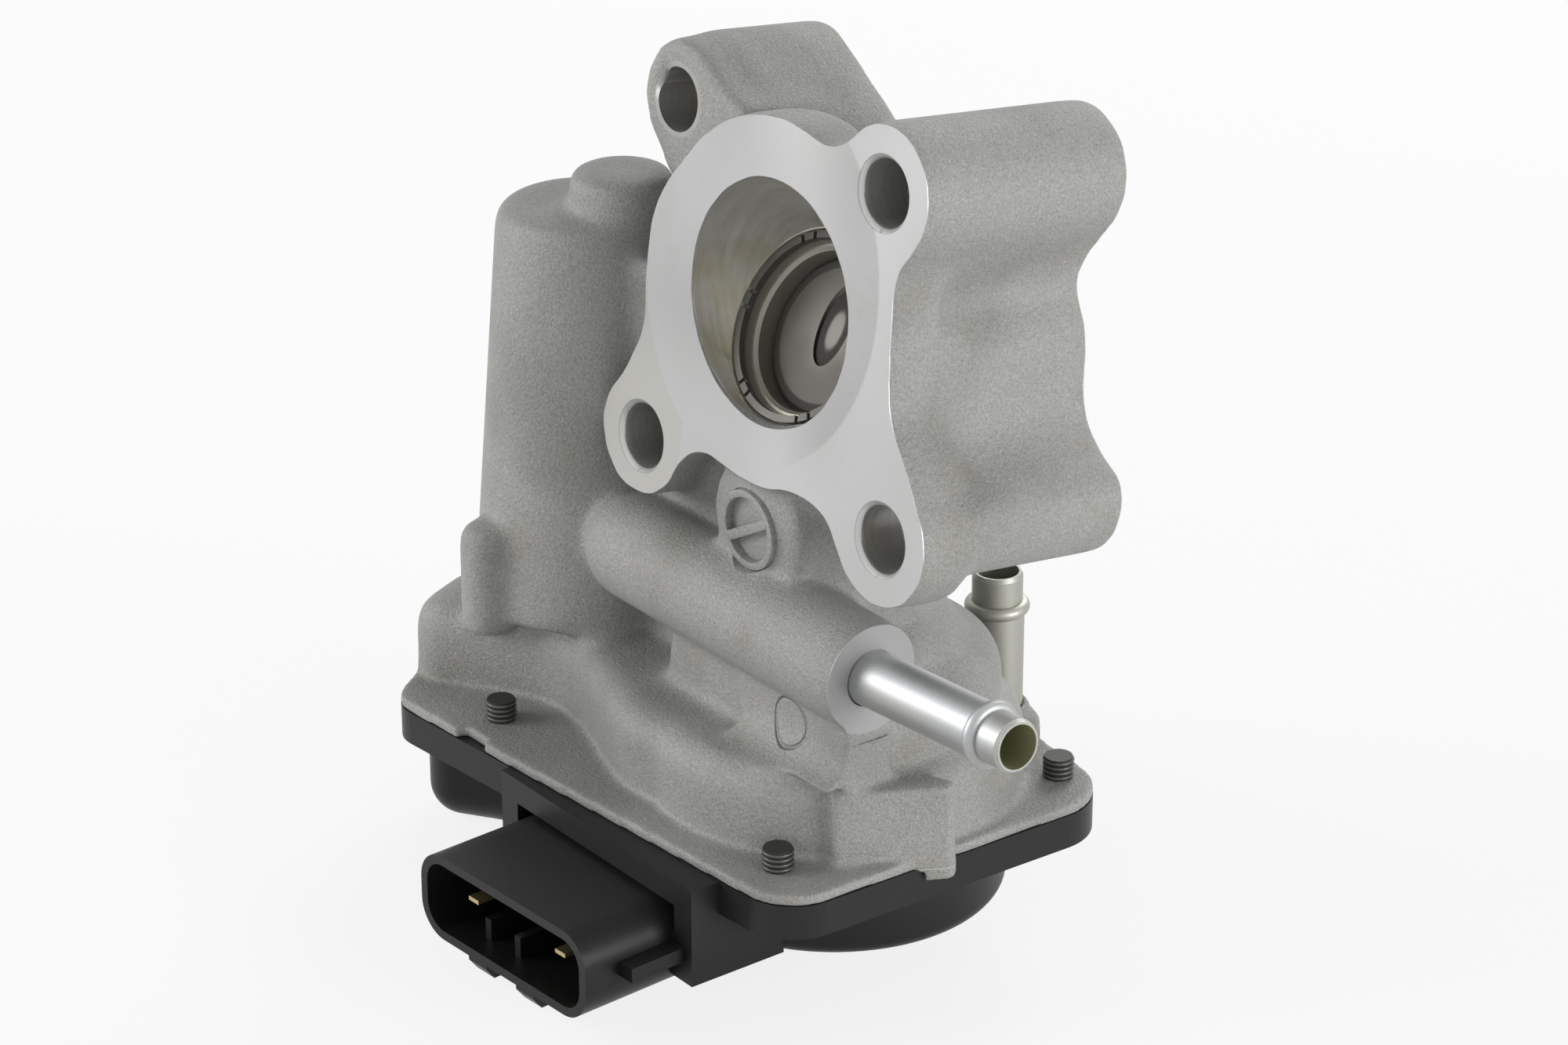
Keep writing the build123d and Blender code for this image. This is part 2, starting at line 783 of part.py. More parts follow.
def tooth_half_angle(module, teeth, radius):
    """Half the angle of an involute tooth at a radius, with backlash."""
    pitch_r = module * teeth / 2
    base_r = pitch_r * cos(radians(pressure_angle))
    at_pitch = pi / (2 * teeth) - backlash / (4 * pitch_r)
    pitch_roll = tan(radians(pressure_angle)) - radians(pressure_angle)
    if radius <= base_r:
        return at_pitch + pitch_roll
    ratio = base_r / radius
    roll_angle = atan2(sqrt(1 - ratio**2), ratio)
    return at_pitch + pitch_roll - (tan(roll_angle) - roll_angle)


def gear_outline(module, teeth, phase):
    """Involute gear with a tooth centred at the phase angle in degrees."""
    pitch_r = module * teeth / 2
    root_r = pitch_r - module * (1 + tooth_root_clearance)
    tip_r = pitch_r + module
    base_r = pitch_r * cos(radians(pressure_angle))
    start_r = max(base_r, root_r + 0.05)
    radii = [root_r, start_r, (start_r + pitch_r) / 2, pitch_r, (pitch_r + tip_r) / 2, tip_r]
    points = []
    for index in range(teeth):
        centre = radians(phase) + 2 * pi * index / teeth
        for radius in radii:
            angle = centre - tooth_half_angle(module, teeth, radius)
            points.append((radius * cos(angle), radius * sin(angle)))
        for radius in reversed(radii):
            angle = centre + tooth_half_angle(module, teeth, radius)
            points.append((radius * cos(angle), radius * sin(angle)))
    return make_face(Polyline(*points, close=True))


def wedge(start, end, radius):
    """Flat wedge between two angles in degrees."""
    points = [(0, 0)]
    steps = 4
    for index in range(steps + 1):
        angle = radians(start + (end - start) * index / steps)
        points.append((radius * cos(angle), radius * sin(angle)))
    return Polygon(*points, align=None)


def sector_gear():
    """Toothed sector on a hub, with the magnet cup and the spring post."""
    full = gear_outline(second_module, sector_teeth, idler_angle)
    cut = wedge(idler_angle - sector_travel - sector_margin, idler_angle + sector_margin, 2 * sector_r)
    blade = (full & cut) + Circle(sector_hub_r)
    pockets = []
    for share in (0.25, 0.5, 0.75):
        span = sector_travel + 2 * sector_margin
        angle = radians(idler_angle - sector_travel - sector_margin + share * span)
        middle = (sector_hub_r + sector_r) / 2
        pockets.append(Pos(middle * cos(angle), middle * sin(angle)) * Circle(3.4))
    for pocket in pockets:
        blade = blade - pocket
    body = extrude(Pos(0, valve_y, sector_top_z - sector_h) * blade, amount=sector_h)
    hub_h = sector_hub_top_z - sector_hub_bottom_z
    body = body + rod(sector_hub_r, sector_hub_top_z, hub_h, 0, valve_y)
    post_angle = radians(post_direction())
    post_x = spring_post_at * cos(post_angle)
    post_y = valve_y + spring_post_at * sin(post_angle)
    post_top = spring_top_z - spring_turns * spring_pitch - spring_wire_r - 0.3
    arm = Pos(post_x / 2, (post_y + valve_y) / 2, sector_top_z - sector_h / 2)
    arm = arm * Rot(0, 0, post_direction()) * Box(spring_post_at, 2.6 * spring_post_r, sector_h)
    end = rod(1.3 * spring_post_r, sector_top_z, sector_h, post_x, post_y)
    post = rod(spring_post_r, post_top, post_top - sector_top_z + 1, post_x, post_y)
    body = body + arm + end + post
    cup = rod(sensor_cup_r, sector_hub_bottom_z + sensor_cup_depth, 8, 0, valve_y)
    bore = rod(shaft_r, 0, -sector_hub_bottom_z - sensor_cup_depth - 0.5, 0, valve_y)
    return body - cup - bore


def post_direction():
    """Direction of the spring post at rest, away from the idler all through its travel."""
    return idler_angle + 180 - sector_travel / 2


def sensor_magnets():
    """Two curved magnets in the hub cup."""
    top = sector_hub_bottom_z + sensor_cup_depth - 0.5
    ring = tube(sensor_cup_r, sensor_cup_r - magnet_t, top, magnet_h, 0, valve_y)
    gap = Pos(0, valve_y, top) * Box(4 * sensor_cup_r, 2.4, 4 * magnet_h)
    pieces = (ring - gap).solids()
    return Compound(children=list(pieces))


def spring_guide():
    """Plastic sleeve on the sector hub that the spring turns round."""
    top = spring_top_z + 1.0
    height = top - sector_hub_top_z
    body = rod(spring_guide_r, top, height, 0, valve_y)
    body = body - rod(spring_guide_r - spring_guide_wall, top, height - 2, 0, valve_y)
    return body - rod(shaft_r, top, height, 0, valve_y)


def return_spring():
    """Torsion spring with two straight legs."""
    height = spring_turns * spring_pitch
    path = Helix(pitch=spring_pitch, height=height, radius=spring_r)
    section = Plane(origin=path @ 0, z_dir=path % 0) * Circle(spring_wire_r)
    coil = sweep(section, path=path)
    place = Pos(0, valve_y, spring_top_z - height) * Rot(0, 0, post_direction())
    lower_leg = Pos(0, 0, -height) * spring_leg(spring_post_at + spring_post_r + 1)
    return place * coil + spring_leg(spring_leg_reach) + lower_leg


def spring_leg(reach):
    """Straight wire from the coil out to a distance from the valve axis."""
    length = reach - spring_r
    wire = Pos(spring_r + length / 2, 0) * Rot(0, 90, 0) * Cylinder(spring_wire_r, length)
    return Pos(0, valve_y, spring_top_z) * Rot(0, 0, post_direction()) * (
        wire + Pos(spring_r, 0) * Sphere(spring_wire_r)
    )


def idler_gear():
    """Compound gear: large wheel above, small pinion below."""
    large = gear_outline(first_module, idler_large_teeth, motor_angle)
    half_tooth = 180 / idler_small_teeth
    small = gear_outline(second_module, idler_small_teeth, idler_angle + 180 + half_tooth)
    web_r = idler_large_r - 3.2
    body = extrude(Pos(0, 0, -idler_large_h) * large, amount=idler_large_h)
    recess = Circle(web_r) - Circle(idler_hub_r)
    body = body - extrude(Pos(0, 0, -1.4) * recess, amount=1.4)
    body = body + extrude(Pos(0, 0, -idler_large_h - idler_small_h) * small, amount=idler_small_h)
    body = body - rod(idler_pin_r + running_gap, 1, idler_large_h + idler_small_h + 2)
    return Pos(idler_x, idler_y, idler_large_top_z) * body


def idler_pin():
    """Pin between the casting boss and the cover boss."""
    top = case_top_z - case_wall - 1.0
    return rod(idler_pin_r, top, top - cover_inner_z, idler_x, idler_y)


def motor_can():
    """Motor can with two flats, open at the shaft."""
    height = motor_top_z - motor_plate_top_z
    body = rod(motor_r, motor_top_z, height)
    body = body & Pos(0, 0, motor_top_z - height / 2) * Box(4 * motor_r, 2 * motor_flat, height)
    body = rounded_top(body, motor_round_r)
    bore_r = motor_shaft_r + motor_shaft_room
    body = body - rod(bore_r, motor_plate_top_z + 1.2 * motor_shaft_reach, 1.3 * motor_shaft_reach)
    return Pos(motor_x, motor_y) * Rot(0, 0, motor_ear_angle) * body


def motor_end_plate():
    """Steel end plate with two ears and the shaft collar."""
    plan = Circle(motor_plate_r)
    for side in (-1, 1):
        plan = plan + Pos(0, side * motor_screw_spread) * Circle(motor_ear_r)
    plate = extrude(make_hull(plan.edges()), amount=-motor_plate_t)
    plate = plate + rod(motor_collar_r, -motor_plate_t, motor_collar_h)
    through = 2 * motor_plate_t + motor_collar_h
    plate = plate - rod(motor_shaft_r + running_gap, motor_plate_t / 2, through)
    for side in (-1, 1):
        at_y = side * motor_screw_spread
        plate = plate - rod(motor_screw_r + motor_screw_room, motor_plate_t / 2, through, 0, at_y)
    return Pos(motor_x, motor_y, motor_plate_top_z) * Rot(0, 0, motor_ear_angle) * plate


def motor_screws():
    """Two pan-head screws through the end plate."""
    screws = []
    bottom = motor_plate_top_z - motor_plate_t
    for x, y in motor_screw_places():
        head = rod(motor_head_r, bottom, motor_head_h, x, y)
        head = rounded_bottom(head, motor_head_round_r)
        shank = rod(motor_screw_r, bottom + motor_thread_l, motor_thread_l, x, y)
        screws.append(head + shank)
    return Compound(children=screws)


def motor_washer():
    """Dished washer that presses the motor down in its bore."""
    gap = 2 * washer_t
    outer = Pos(0, 0, gap / 2) * Cone(washer_foot_r, washer_top_r, gap)
    inner_foot_r = washer_foot_r - 2 * washer_t
    inner = Pos(0, 0, (gap - washer_t) / 2) * Cone(inner_foot_r, washer_top_r, gap - washer_t)
    body = outer - inner - rod(washer_bore_r, 2 * gap, 4 * gap)
    return Pos(motor_x, motor_y, motor_top_z) * body


def motor_shaft():
    """Armature shaft end."""
    top = motor_plate_top_z + motor_shaft_reach
    bottom = pinion_top_z - pinion_h - motor_shaft_end
    return rod(motor_shaft_r, top, top - bottom, motor_x, motor_y)


def motor_pinion():
    """Pinion pressed on the motor shaft."""
    half_tooth = 180 / pinion_teeth
    outline = gear_outline(first_module, pinion_teeth, motor_angle + 180 + half_tooth)
    body = extrude(Pos(0, 0, -pinion_h) * outline, amount=pinion_h)
    body = body - rod(motor_shaft_r, 1, pinion_h + 2)
    return Pos(motor_x, motor_y, pinion_top_z) * body


def shell_outline(inset):
    """Rounded outline of the connector shell, seen from the front."""
    width = shell_right_x - shell_left_x - 2 * inset
    height = shell_top_z - shell_bottom_z - 2 * inset
    return RectangleRounded(width, height, shell_round_r - inset)


def shell_plane(y):
    """Plane across the connector at a depth, its normal to the back."""
    centre = ((shell_left_x + shell_right_x) / 2, y, (shell_top_z + shell_bottom_z) / 2)
    return Plane(origin=centre, x_dir=(1, 0, 0), z_dir=(0, 1, 0))


def turned(shape):
    """Shape of the connector turned about the middle of its root."""
    x = (shell_left_x + shell_right_x) / 2
    return Pos(x, base_front_y) * Rot(0, 0, connector_turn) * Pos(-x, -base_front_y) * shape


def cover_base():
    """Connector base block with its latch ramps, side rib and shell."""
    block = slab(base_left_x, base_right_x, base_front_y, valve_y - 20, base_floor_z, joint_z)
    pocket_top = shell_top_z + 0.7
    pocket = slab(
        shell_left_x + 0.3, shell_right_x + 0.6, base_front_y - 1, base_front_y + 5,
        pocket_top - 4, pocket_top,
    )
    reach = base_front_y - shell_front_y + 8
    shell = extrude(shell_plane(shell_front_y) * shell_outline(0), amount=reach)
    for x in latch_x:
        profile = Polygon(
            (shell_front_y + 0.6, shell_bottom_z + 0.5),
            (shell_front_y + 0.6, shell_bottom_z - 0.4 * latch_h),
            (shell_front_y + 2.0, shell_bottom_z - latch_h),
            (shell_front_y + 3.0, shell_bottom_z - latch_h),
            (shell_front_y + latch_length, shell_bottom_z - 0.3 * latch_h),
            (shell_front_y + latch_length, shell_bottom_z + 0.5),
            align=None,
        )
        plane = Plane(origin=(x - latch_w / 2, 0, 0), x_dir=(0, 1, 0), z_dir=(1, 0, 0))
        shell = shell + extrude(plane * profile, amount=latch_w)
    rib = slab(shell_right_x - 1, shell_right_x + 2.9, -34.7, base_front_y + 1, -87.2, -85.0)
    return block - pocket + turned(shell + rib)


def terminal_places():
    """X and tip Y of each terminal; the inner ones stay back."""
    places = []
    middle = (shell_left_x + shell_right_x) / 2 - terminal_shift
    for index in range(terminal_count):
        x = middle + (index - (terminal_count - 1) / 2) * terminal_pitch
        outer = index in (0, terminal_count - 1)
        tip = shell_front_y + terminal_tip_gap + (0 if outer else terminal_short)
        places.append((x, tip))
    return places


def terminal_blade(x, tip):
    """One blade from its tip into the base block."""
    z = (shell_top_z + shell_bottom_z) / 2
    back = shell_front_y + socket_depth + 5
    half_w = terminal_w / 2
    half_t = terminal_t / 2
    return turned(slab(x - half_w, x + half_w, tip, back, z - half_t, z + half_t))


def connector_terminals():
    """Blades of the connector."""
    return Compound(children=[terminal_blade(x, tip) for x, tip in terminal_places()])


def gasket_ring(depth):
    """Seal path round the case, hanging below the joint by a depth."""
    outer = upright(case_outline(), joint_z - depth, joint_z)
    return outer - upright(case_outline(gasket_w), joint_z - depth - 1, joint_z + 1)


def motor_side(inset, floor_z, right_x):
    """Deeper bulge of the cover on the motor side."""
    reach = 2 * case_r
    half = Pos(right_x - reach, motor_y) * Rectangle(2 * reach, 2 * reach)
    return rounded_bottom(upright(case_outline(inset) & half, floor_z, joint_z), bulge_round_r)


def gear_cover():
    """Plastic cover with its rim, deep body, bosses and connector."""
    rim = upright(plate_outline(), joint_z - cover_rim_t, joint_z)
    deep = upright(case_outline(cover_inset), cover_floor_z, joint_z)
    deep = rounded_bottom(deep, dome_round_r) + motor_side(bulge_inset, bulge_floor_z, bulge_right_x)
    body = rim + deep + cover_base()
    body = body - upright(case_outline(cover_inset + cover_wall), cover_inner_z, joint_z + 1)
    inner_floor_z = bulge_floor_z + cover_wall
    body = body - motor_side(cover_inset + cover_wall, inner_floor_z, bulge_right_x - cover_wall)
    sensor_boss = rod(5.0, sector_hub_bottom_z - 0.8, sector_hub_bottom_z - 0.3 - cover_inner_z, 0, valve_y)
    pin_boss_top = idler_bottom_z - 0.3
    pin_boss = rod(4.2, pin_boss_top, pin_boss_top - cover_inner_z + 0.5, idler_x, idler_y)
    body = body + sensor_boss + pin_boss
    socket = extrude(shell_plane(shell_front_y) * shell_outline(shell_wall), amount=socket_depth)
    body = body - turned(socket) + turned(key_ribs())
    body = body - angle_sensor()
    body = body - rod(idler_pin_r, pin_boss_top + 1, pin_boss_top + 1 - cover_inner_z, idler_x, idler_y)
    body = body - gasket_ring(gasket_h + gasket_squeeze)
    for x, tip in terminal_places():
        body = body - terminal_blade(x, tip)
    for x, y in screw_points:
        body = body - rod(screw_r + screw_gap, joint_z + 1, cover_rim_t + 2, x, y)
    return body


def key_ribs():
    """Two small key ribs on the socket floor."""
    ribs = []
    floor = shell_bottom_z + shell_wall
    front = shell_front_y + key_rib_gap
    for x in key_rib_x:
        half = key_rib_w / 2
        ribs.append(slab(x - half, x + half, front, front + 8, floor - 0.3, floor + key_rib_h))
    return Compound(children=ribs)


def cover_gasket():
    """Rubber seal in the groove of the cover rim."""
    return gasket_ring(gasket_h)


def cover_screws():
    """Flanged screws from below, their ends standing above the plate."""
    screws = []
    seat = joint_z - cover_rim_t
    for x, y in screw_points:
        head = rounded_bottom(rod(screw_head_r, seat, screw_head_h, x, y), 0.9)
        top = plate_top_z + screw_stick_out
        shank = rod(screw_r, top, top - seat, x, y)
        screws.append(head + shank)
    return Compound(children=screws)


def angle_sensor():
    """Sensor stem that reaches into the magnet cup."""
    top = sector_hub_bottom_z + sensor_cup_depth - 1.2
    return rod(sensor_r, top, top - cover_inner_z + 0.6, 0, valve_y)


def hose_tail(length, seat):
    """Beaded pipe along +Z from the bottom of its seat to its tip."""
    tip = length + seat
    bead_start = tip - pipe_tip - pipe_bead_w
    bead_end = tip - pipe_tip
    bore = pipe_r - pipe_wall
    with BuildSketch(Plane.XZ) as sketch:
        with BuildLine():
            Polyline((bore, 0), (pipe_r, 0), (pipe_r, bead_start))
            peak = (pipe_bead_r, (bead_start + bead_end) / 2)
            ThreePointArc((pipe_r, bead_start), peak, (pipe_tip_r, bead_end))
            Polyline((pipe_tip_r, bead_end), (pipe_tip_r, tip - 0.6), (pipe_tip_r - 0.3, tip))
            Polyline((pipe_tip_r - 0.3, tip), (bore, tip), (bore, 0))
        make_face()
    return revolve(sketch.sketch, axis=Axis.Z)


def front_pipe_place():
    """Bottom of the front pipe's seat, with +Z along the pipe."""
    rim = Pos(gallery_right_x, gallery_y, gallery_z) * Rot(0, 90 - front_pipe_rise, 0)
    return rim * Pos(0, 0, -pipe_seat)


def front_coolant_pipe():
    """Pipe pressed into the gallery, along +X and a little upwards."""
    return front_pipe_place() * hose_tail(front_pipe_length, pipe_seat)


def rear_coolant_pipe():
    """Pipe pressed into the rear boss, along +Z."""
    place = Pos(rear_pipe_at[0], rear_pipe_at[1], rear_boss_top_z - rear_pipe_seat)
    return place * hose_tail(rear_pipe_length, rear_pipe_seat)


part_builders = [
    valve_housing,
    nozzle,
    nozzle_retainer,
    valve_disc,
    disc_seal_ring,
    valve_shaft,
    shaft_bush,
    shaft_seal,
    bearing_outer_ring,
    bearing_inner_ring,
    bearing_balls,
    sector_gear,
    sensor_magnets,
    spring_guide,
    return_spring,
    idler_gear,
    idler_pin,
    motor_can,
    motor_end_plate,
    motor_screws,
    motor_washer,
    motor_shaft,
    motor_pinion,
    gear_cover,
    cover_gasket,
    cover_screws,
    connector_terminals,
    angle_sensor,
    front_coolant_pipe,
    rear_coolant_pipe,
]

os.makedirs("parts", exist_ok=True)
for builder in part_builders:
    export_step(builder(), "parts/" + builder.__name__ + ".step")
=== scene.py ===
"""Look of an electric EGR valve: cast body, machined port, plastic cover and coolant pipes."""

import json
import logging
import math
from abc import ABC, abstractmethod
from dataclasses import dataclass
from enum import Enum
from typing import Any, Iterable, Optional, Sequence, Union

import bmesh
import bpy
import numpy as np
from mathutils import Matrix, Vector


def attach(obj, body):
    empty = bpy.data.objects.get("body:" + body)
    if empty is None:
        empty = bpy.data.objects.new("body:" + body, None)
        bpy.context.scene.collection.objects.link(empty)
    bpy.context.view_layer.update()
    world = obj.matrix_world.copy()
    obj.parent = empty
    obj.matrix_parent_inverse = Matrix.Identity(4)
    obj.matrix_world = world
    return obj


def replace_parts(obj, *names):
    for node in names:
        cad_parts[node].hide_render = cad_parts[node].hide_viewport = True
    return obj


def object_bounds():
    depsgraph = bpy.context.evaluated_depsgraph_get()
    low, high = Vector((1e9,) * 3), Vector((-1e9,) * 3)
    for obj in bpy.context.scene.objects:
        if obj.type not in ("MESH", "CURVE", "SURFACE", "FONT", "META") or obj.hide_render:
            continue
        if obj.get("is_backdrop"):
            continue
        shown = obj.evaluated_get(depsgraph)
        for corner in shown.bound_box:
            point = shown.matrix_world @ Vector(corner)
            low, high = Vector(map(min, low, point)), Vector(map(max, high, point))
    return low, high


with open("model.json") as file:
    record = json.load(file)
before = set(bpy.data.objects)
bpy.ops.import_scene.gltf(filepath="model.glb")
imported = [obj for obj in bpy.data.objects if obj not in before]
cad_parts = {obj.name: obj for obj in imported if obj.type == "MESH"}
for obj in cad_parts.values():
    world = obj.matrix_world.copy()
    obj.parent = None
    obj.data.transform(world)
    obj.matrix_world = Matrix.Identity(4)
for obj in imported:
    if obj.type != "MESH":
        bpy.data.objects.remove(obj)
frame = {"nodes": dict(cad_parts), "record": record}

LOG = logging.getLogger("egr_valve")
MM = 0.001

Pair = tuple[float, float]
Triple = tuple[float, float, float]


@dataclass(frozen=True)
class Layout:
    """Places and sizes of the casting, in millimetres.

    Attributes:
        bore_r: Radius of the port.
        port_length: Length of the port from front face to rear face.
        face_left: Left end of the machined front face.
        face_low: Lower end of the machined front face.
        rear_low: Lower end of the machined rear face.
        valve_y: Depth of the valve shaft.
        disc_z: Height of the middle of the disc.
        nozzle_tilt: Slant of the nozzle against the level, in radians.
        gallery_x: Right end of the coolant gallery.
        gallery_y: Depth of its axis.
        gallery_z: Height of its axis.
        gallery_r: Radius of its machined end.
        gasket_z: Height of the joint with the cover.
        rim_z: Height of the lower side of the cover's rim.
        plate_z: Height above which the screw ends show.
        screw_r: Radius of the cover screws.
        bolt_r: Radius of the bolt holes.
        mouth_r: Radius of their chamfered mouths.
        mouth_depth: Depth of the chamfer.
        retainer: How far ahead of the disc the nozzle's retaining ring begins.
        bevel: Radii between which the painted shade on the bevel of the disc begins.
        shaft_end_shade: Radii between which the painted shade round the shaft end begins, which
            makes the end look recessed.
        shaft_shade_low: Height below which the shaft has no such painted shade.
    """

    bore_r: float = 17.0
    port_length: float = 34.3
    face_left: float = -34.4
    face_low: float = -35.5
    rear_low: float = -40.0
    valve_y: float = 11.5
    disc_z: float = -7.9
    nozzle_tilt: float = math.radians(30.0)
    gallery_x: float = 24.0
    gallery_y: float = -1.0
    gallery_z: float = -46.4
    gallery_r: float = 7.9
    gasket_z: float = -75.6
    rim_z: float = -80.7
    plate_z: float = -74.0
    screw_r: float = 2.0
    bolt_r: float = 4.6
    mouth_r: float = 5.3
    mouth_depth: float = 0.7
    retainer: Pair = (4.8, 4.9)
    bevel: Pair = (9.5, 9.75)
    shaft_end_shade: Pair = (1.1, 1.7)
    shaft_shade_low: float = -12.0


LAYOUT = Layout()
PORT_TILT = math.radians(7.0)
ACROSS = Vector((1.0, 0.0, 0.0))
FORWARD = Vector((0.0, 1.0, 0.0))
UPRIGHT = Vector((0.0, 0.0, 1.0))
PORT_BACK = Vector((0.0, math.cos(PORT_TILT), -math.sin(PORT_TILT)))
PORT_UP = Vector((0.0, math.sin(PORT_TILT), math.cos(PORT_TILT)))

BOLTS: tuple[Triple, ...] = (
    (21.1, 21.4, 0.0),
    (27.9, -24.3, 0.0),
    (-25.0, -27.4, 0.0),
    (-35.2, 17.9, 9.0),
)
SCREWS: tuple[Pair, ...] = ((-41.9, -16.8), (18.4, -12.6), (21.2, 35.4), (-63.6, 27.4))
MARK: Triple = (-1.2, -1.7, -33.2)
LUG_DEPTHS: Pair = (9.1, 24.0)
LUG: tuple[Pair, ...] = (
    (-41.6, 12.0),
    (-36.1, 6.0),
    (-22.0, 4.0),
    (-20.0, 20.0),
    (-25.8, 22.1),
    (-29.2, 24.1),
    (-35.1, 26.2),
)


class Wire:
    """A value that runs through a shader tree, with the operators that the finishes use."""

    def __init__(self, tree: "Tree", value: Any) -> None:
        """Keep a socket or a number.

        Args:
            tree: Tree that the value belongs to.
            value: Output socket or plain number.
        """
        self.tree = tree
        self.value = value

    def _math(self, operation: str, *others: Any) -> "Wire":
        """Return the result of one Math node.

        Args:
            operation: Name of the operation.
            others: Further operands.

        Returns:
            The result as a wire.
        """
        node = self.tree.add("ShaderNodeMath", {"operation": operation})
        for index, item in enumerate((self, *others)):
            self.tree.feed(node.inputs[index], item)
        return Wire(self.tree, node.outputs[0])

    def __add__(self, other: Any) -> "Wire":
        """Sum."""
        return self._math("ADD", other)

    def __radd__(self, other: Any) -> "Wire":
        """Sum with the wire on the right."""
        return self._math("ADD", other)

    def __sub__(self, other: Any) -> "Wire":
        """Difference."""
        return self._math("SUBTRACT", other)

    def __rsub__(self, other: Any) -> "Wire":
        """Difference with the wire on the right."""
        return Wire(self.tree, other)._math("SUBTRACT", self)

    def __mul__(self, other: Any) -> "Wire":
        """Product."""
        return self._math("MULTIPLY", other)

    def __rmul__(self, other: Any) -> "Wire":
        """Product with the wire on the right."""
        return self._math("MULTIPLY", other)

    def __abs__(self) -> "Wire":
        """Absolute value."""
        return self._math("ABSOLUTE")

    def __lt__(self, other: Any) -> "Wire":
        """One where the wire is smaller."""
        return self._math("LESS_THAN", other)

    def __gt__(self, other: Any) -> "Wire":
        """One where the wire is larger."""
        return self._math("GREATER_THAN", other)

    def sine(self) -> "Wire":
        """Sine."""
        return self._math("SINE")

    def root(self) -> "Wire":
        """Square root."""
        return self._math("SQRT")

    def reach(self, other: "Wire") -> "Wire":
        """Length of two distances at right angles."""
        return (self * self + other * other).root()

    def lowest(self, other: Any) -> "Wire":
        """Smaller of two values."""
        return self._math("MINIMUM", other)

    def highest(self, other: Any) -> "Wire":
        """Larger of two values."""
        return self._math("MAXIMUM", other)

    def ramp(self, low: float, high: float, start: float = 0.0, end: float = 1.0) -> "Wire":
        """Map a range smoothly to another.

        Args:
            low: Value that gives start.
            high: Value that gives end.
            start: First result.
            end: Last result.

        Returns:
            The mapped wire.
        """
        node = self.tree.add(
            "ShaderNodeMapRange",
            {"interpolation_type": "SMOOTHSTEP"},
            {"Value": self, "From Min": low, "From Max": high, "To Min": start, "To Max": end},
        )
        return Wire(self.tree, node.outputs[0])


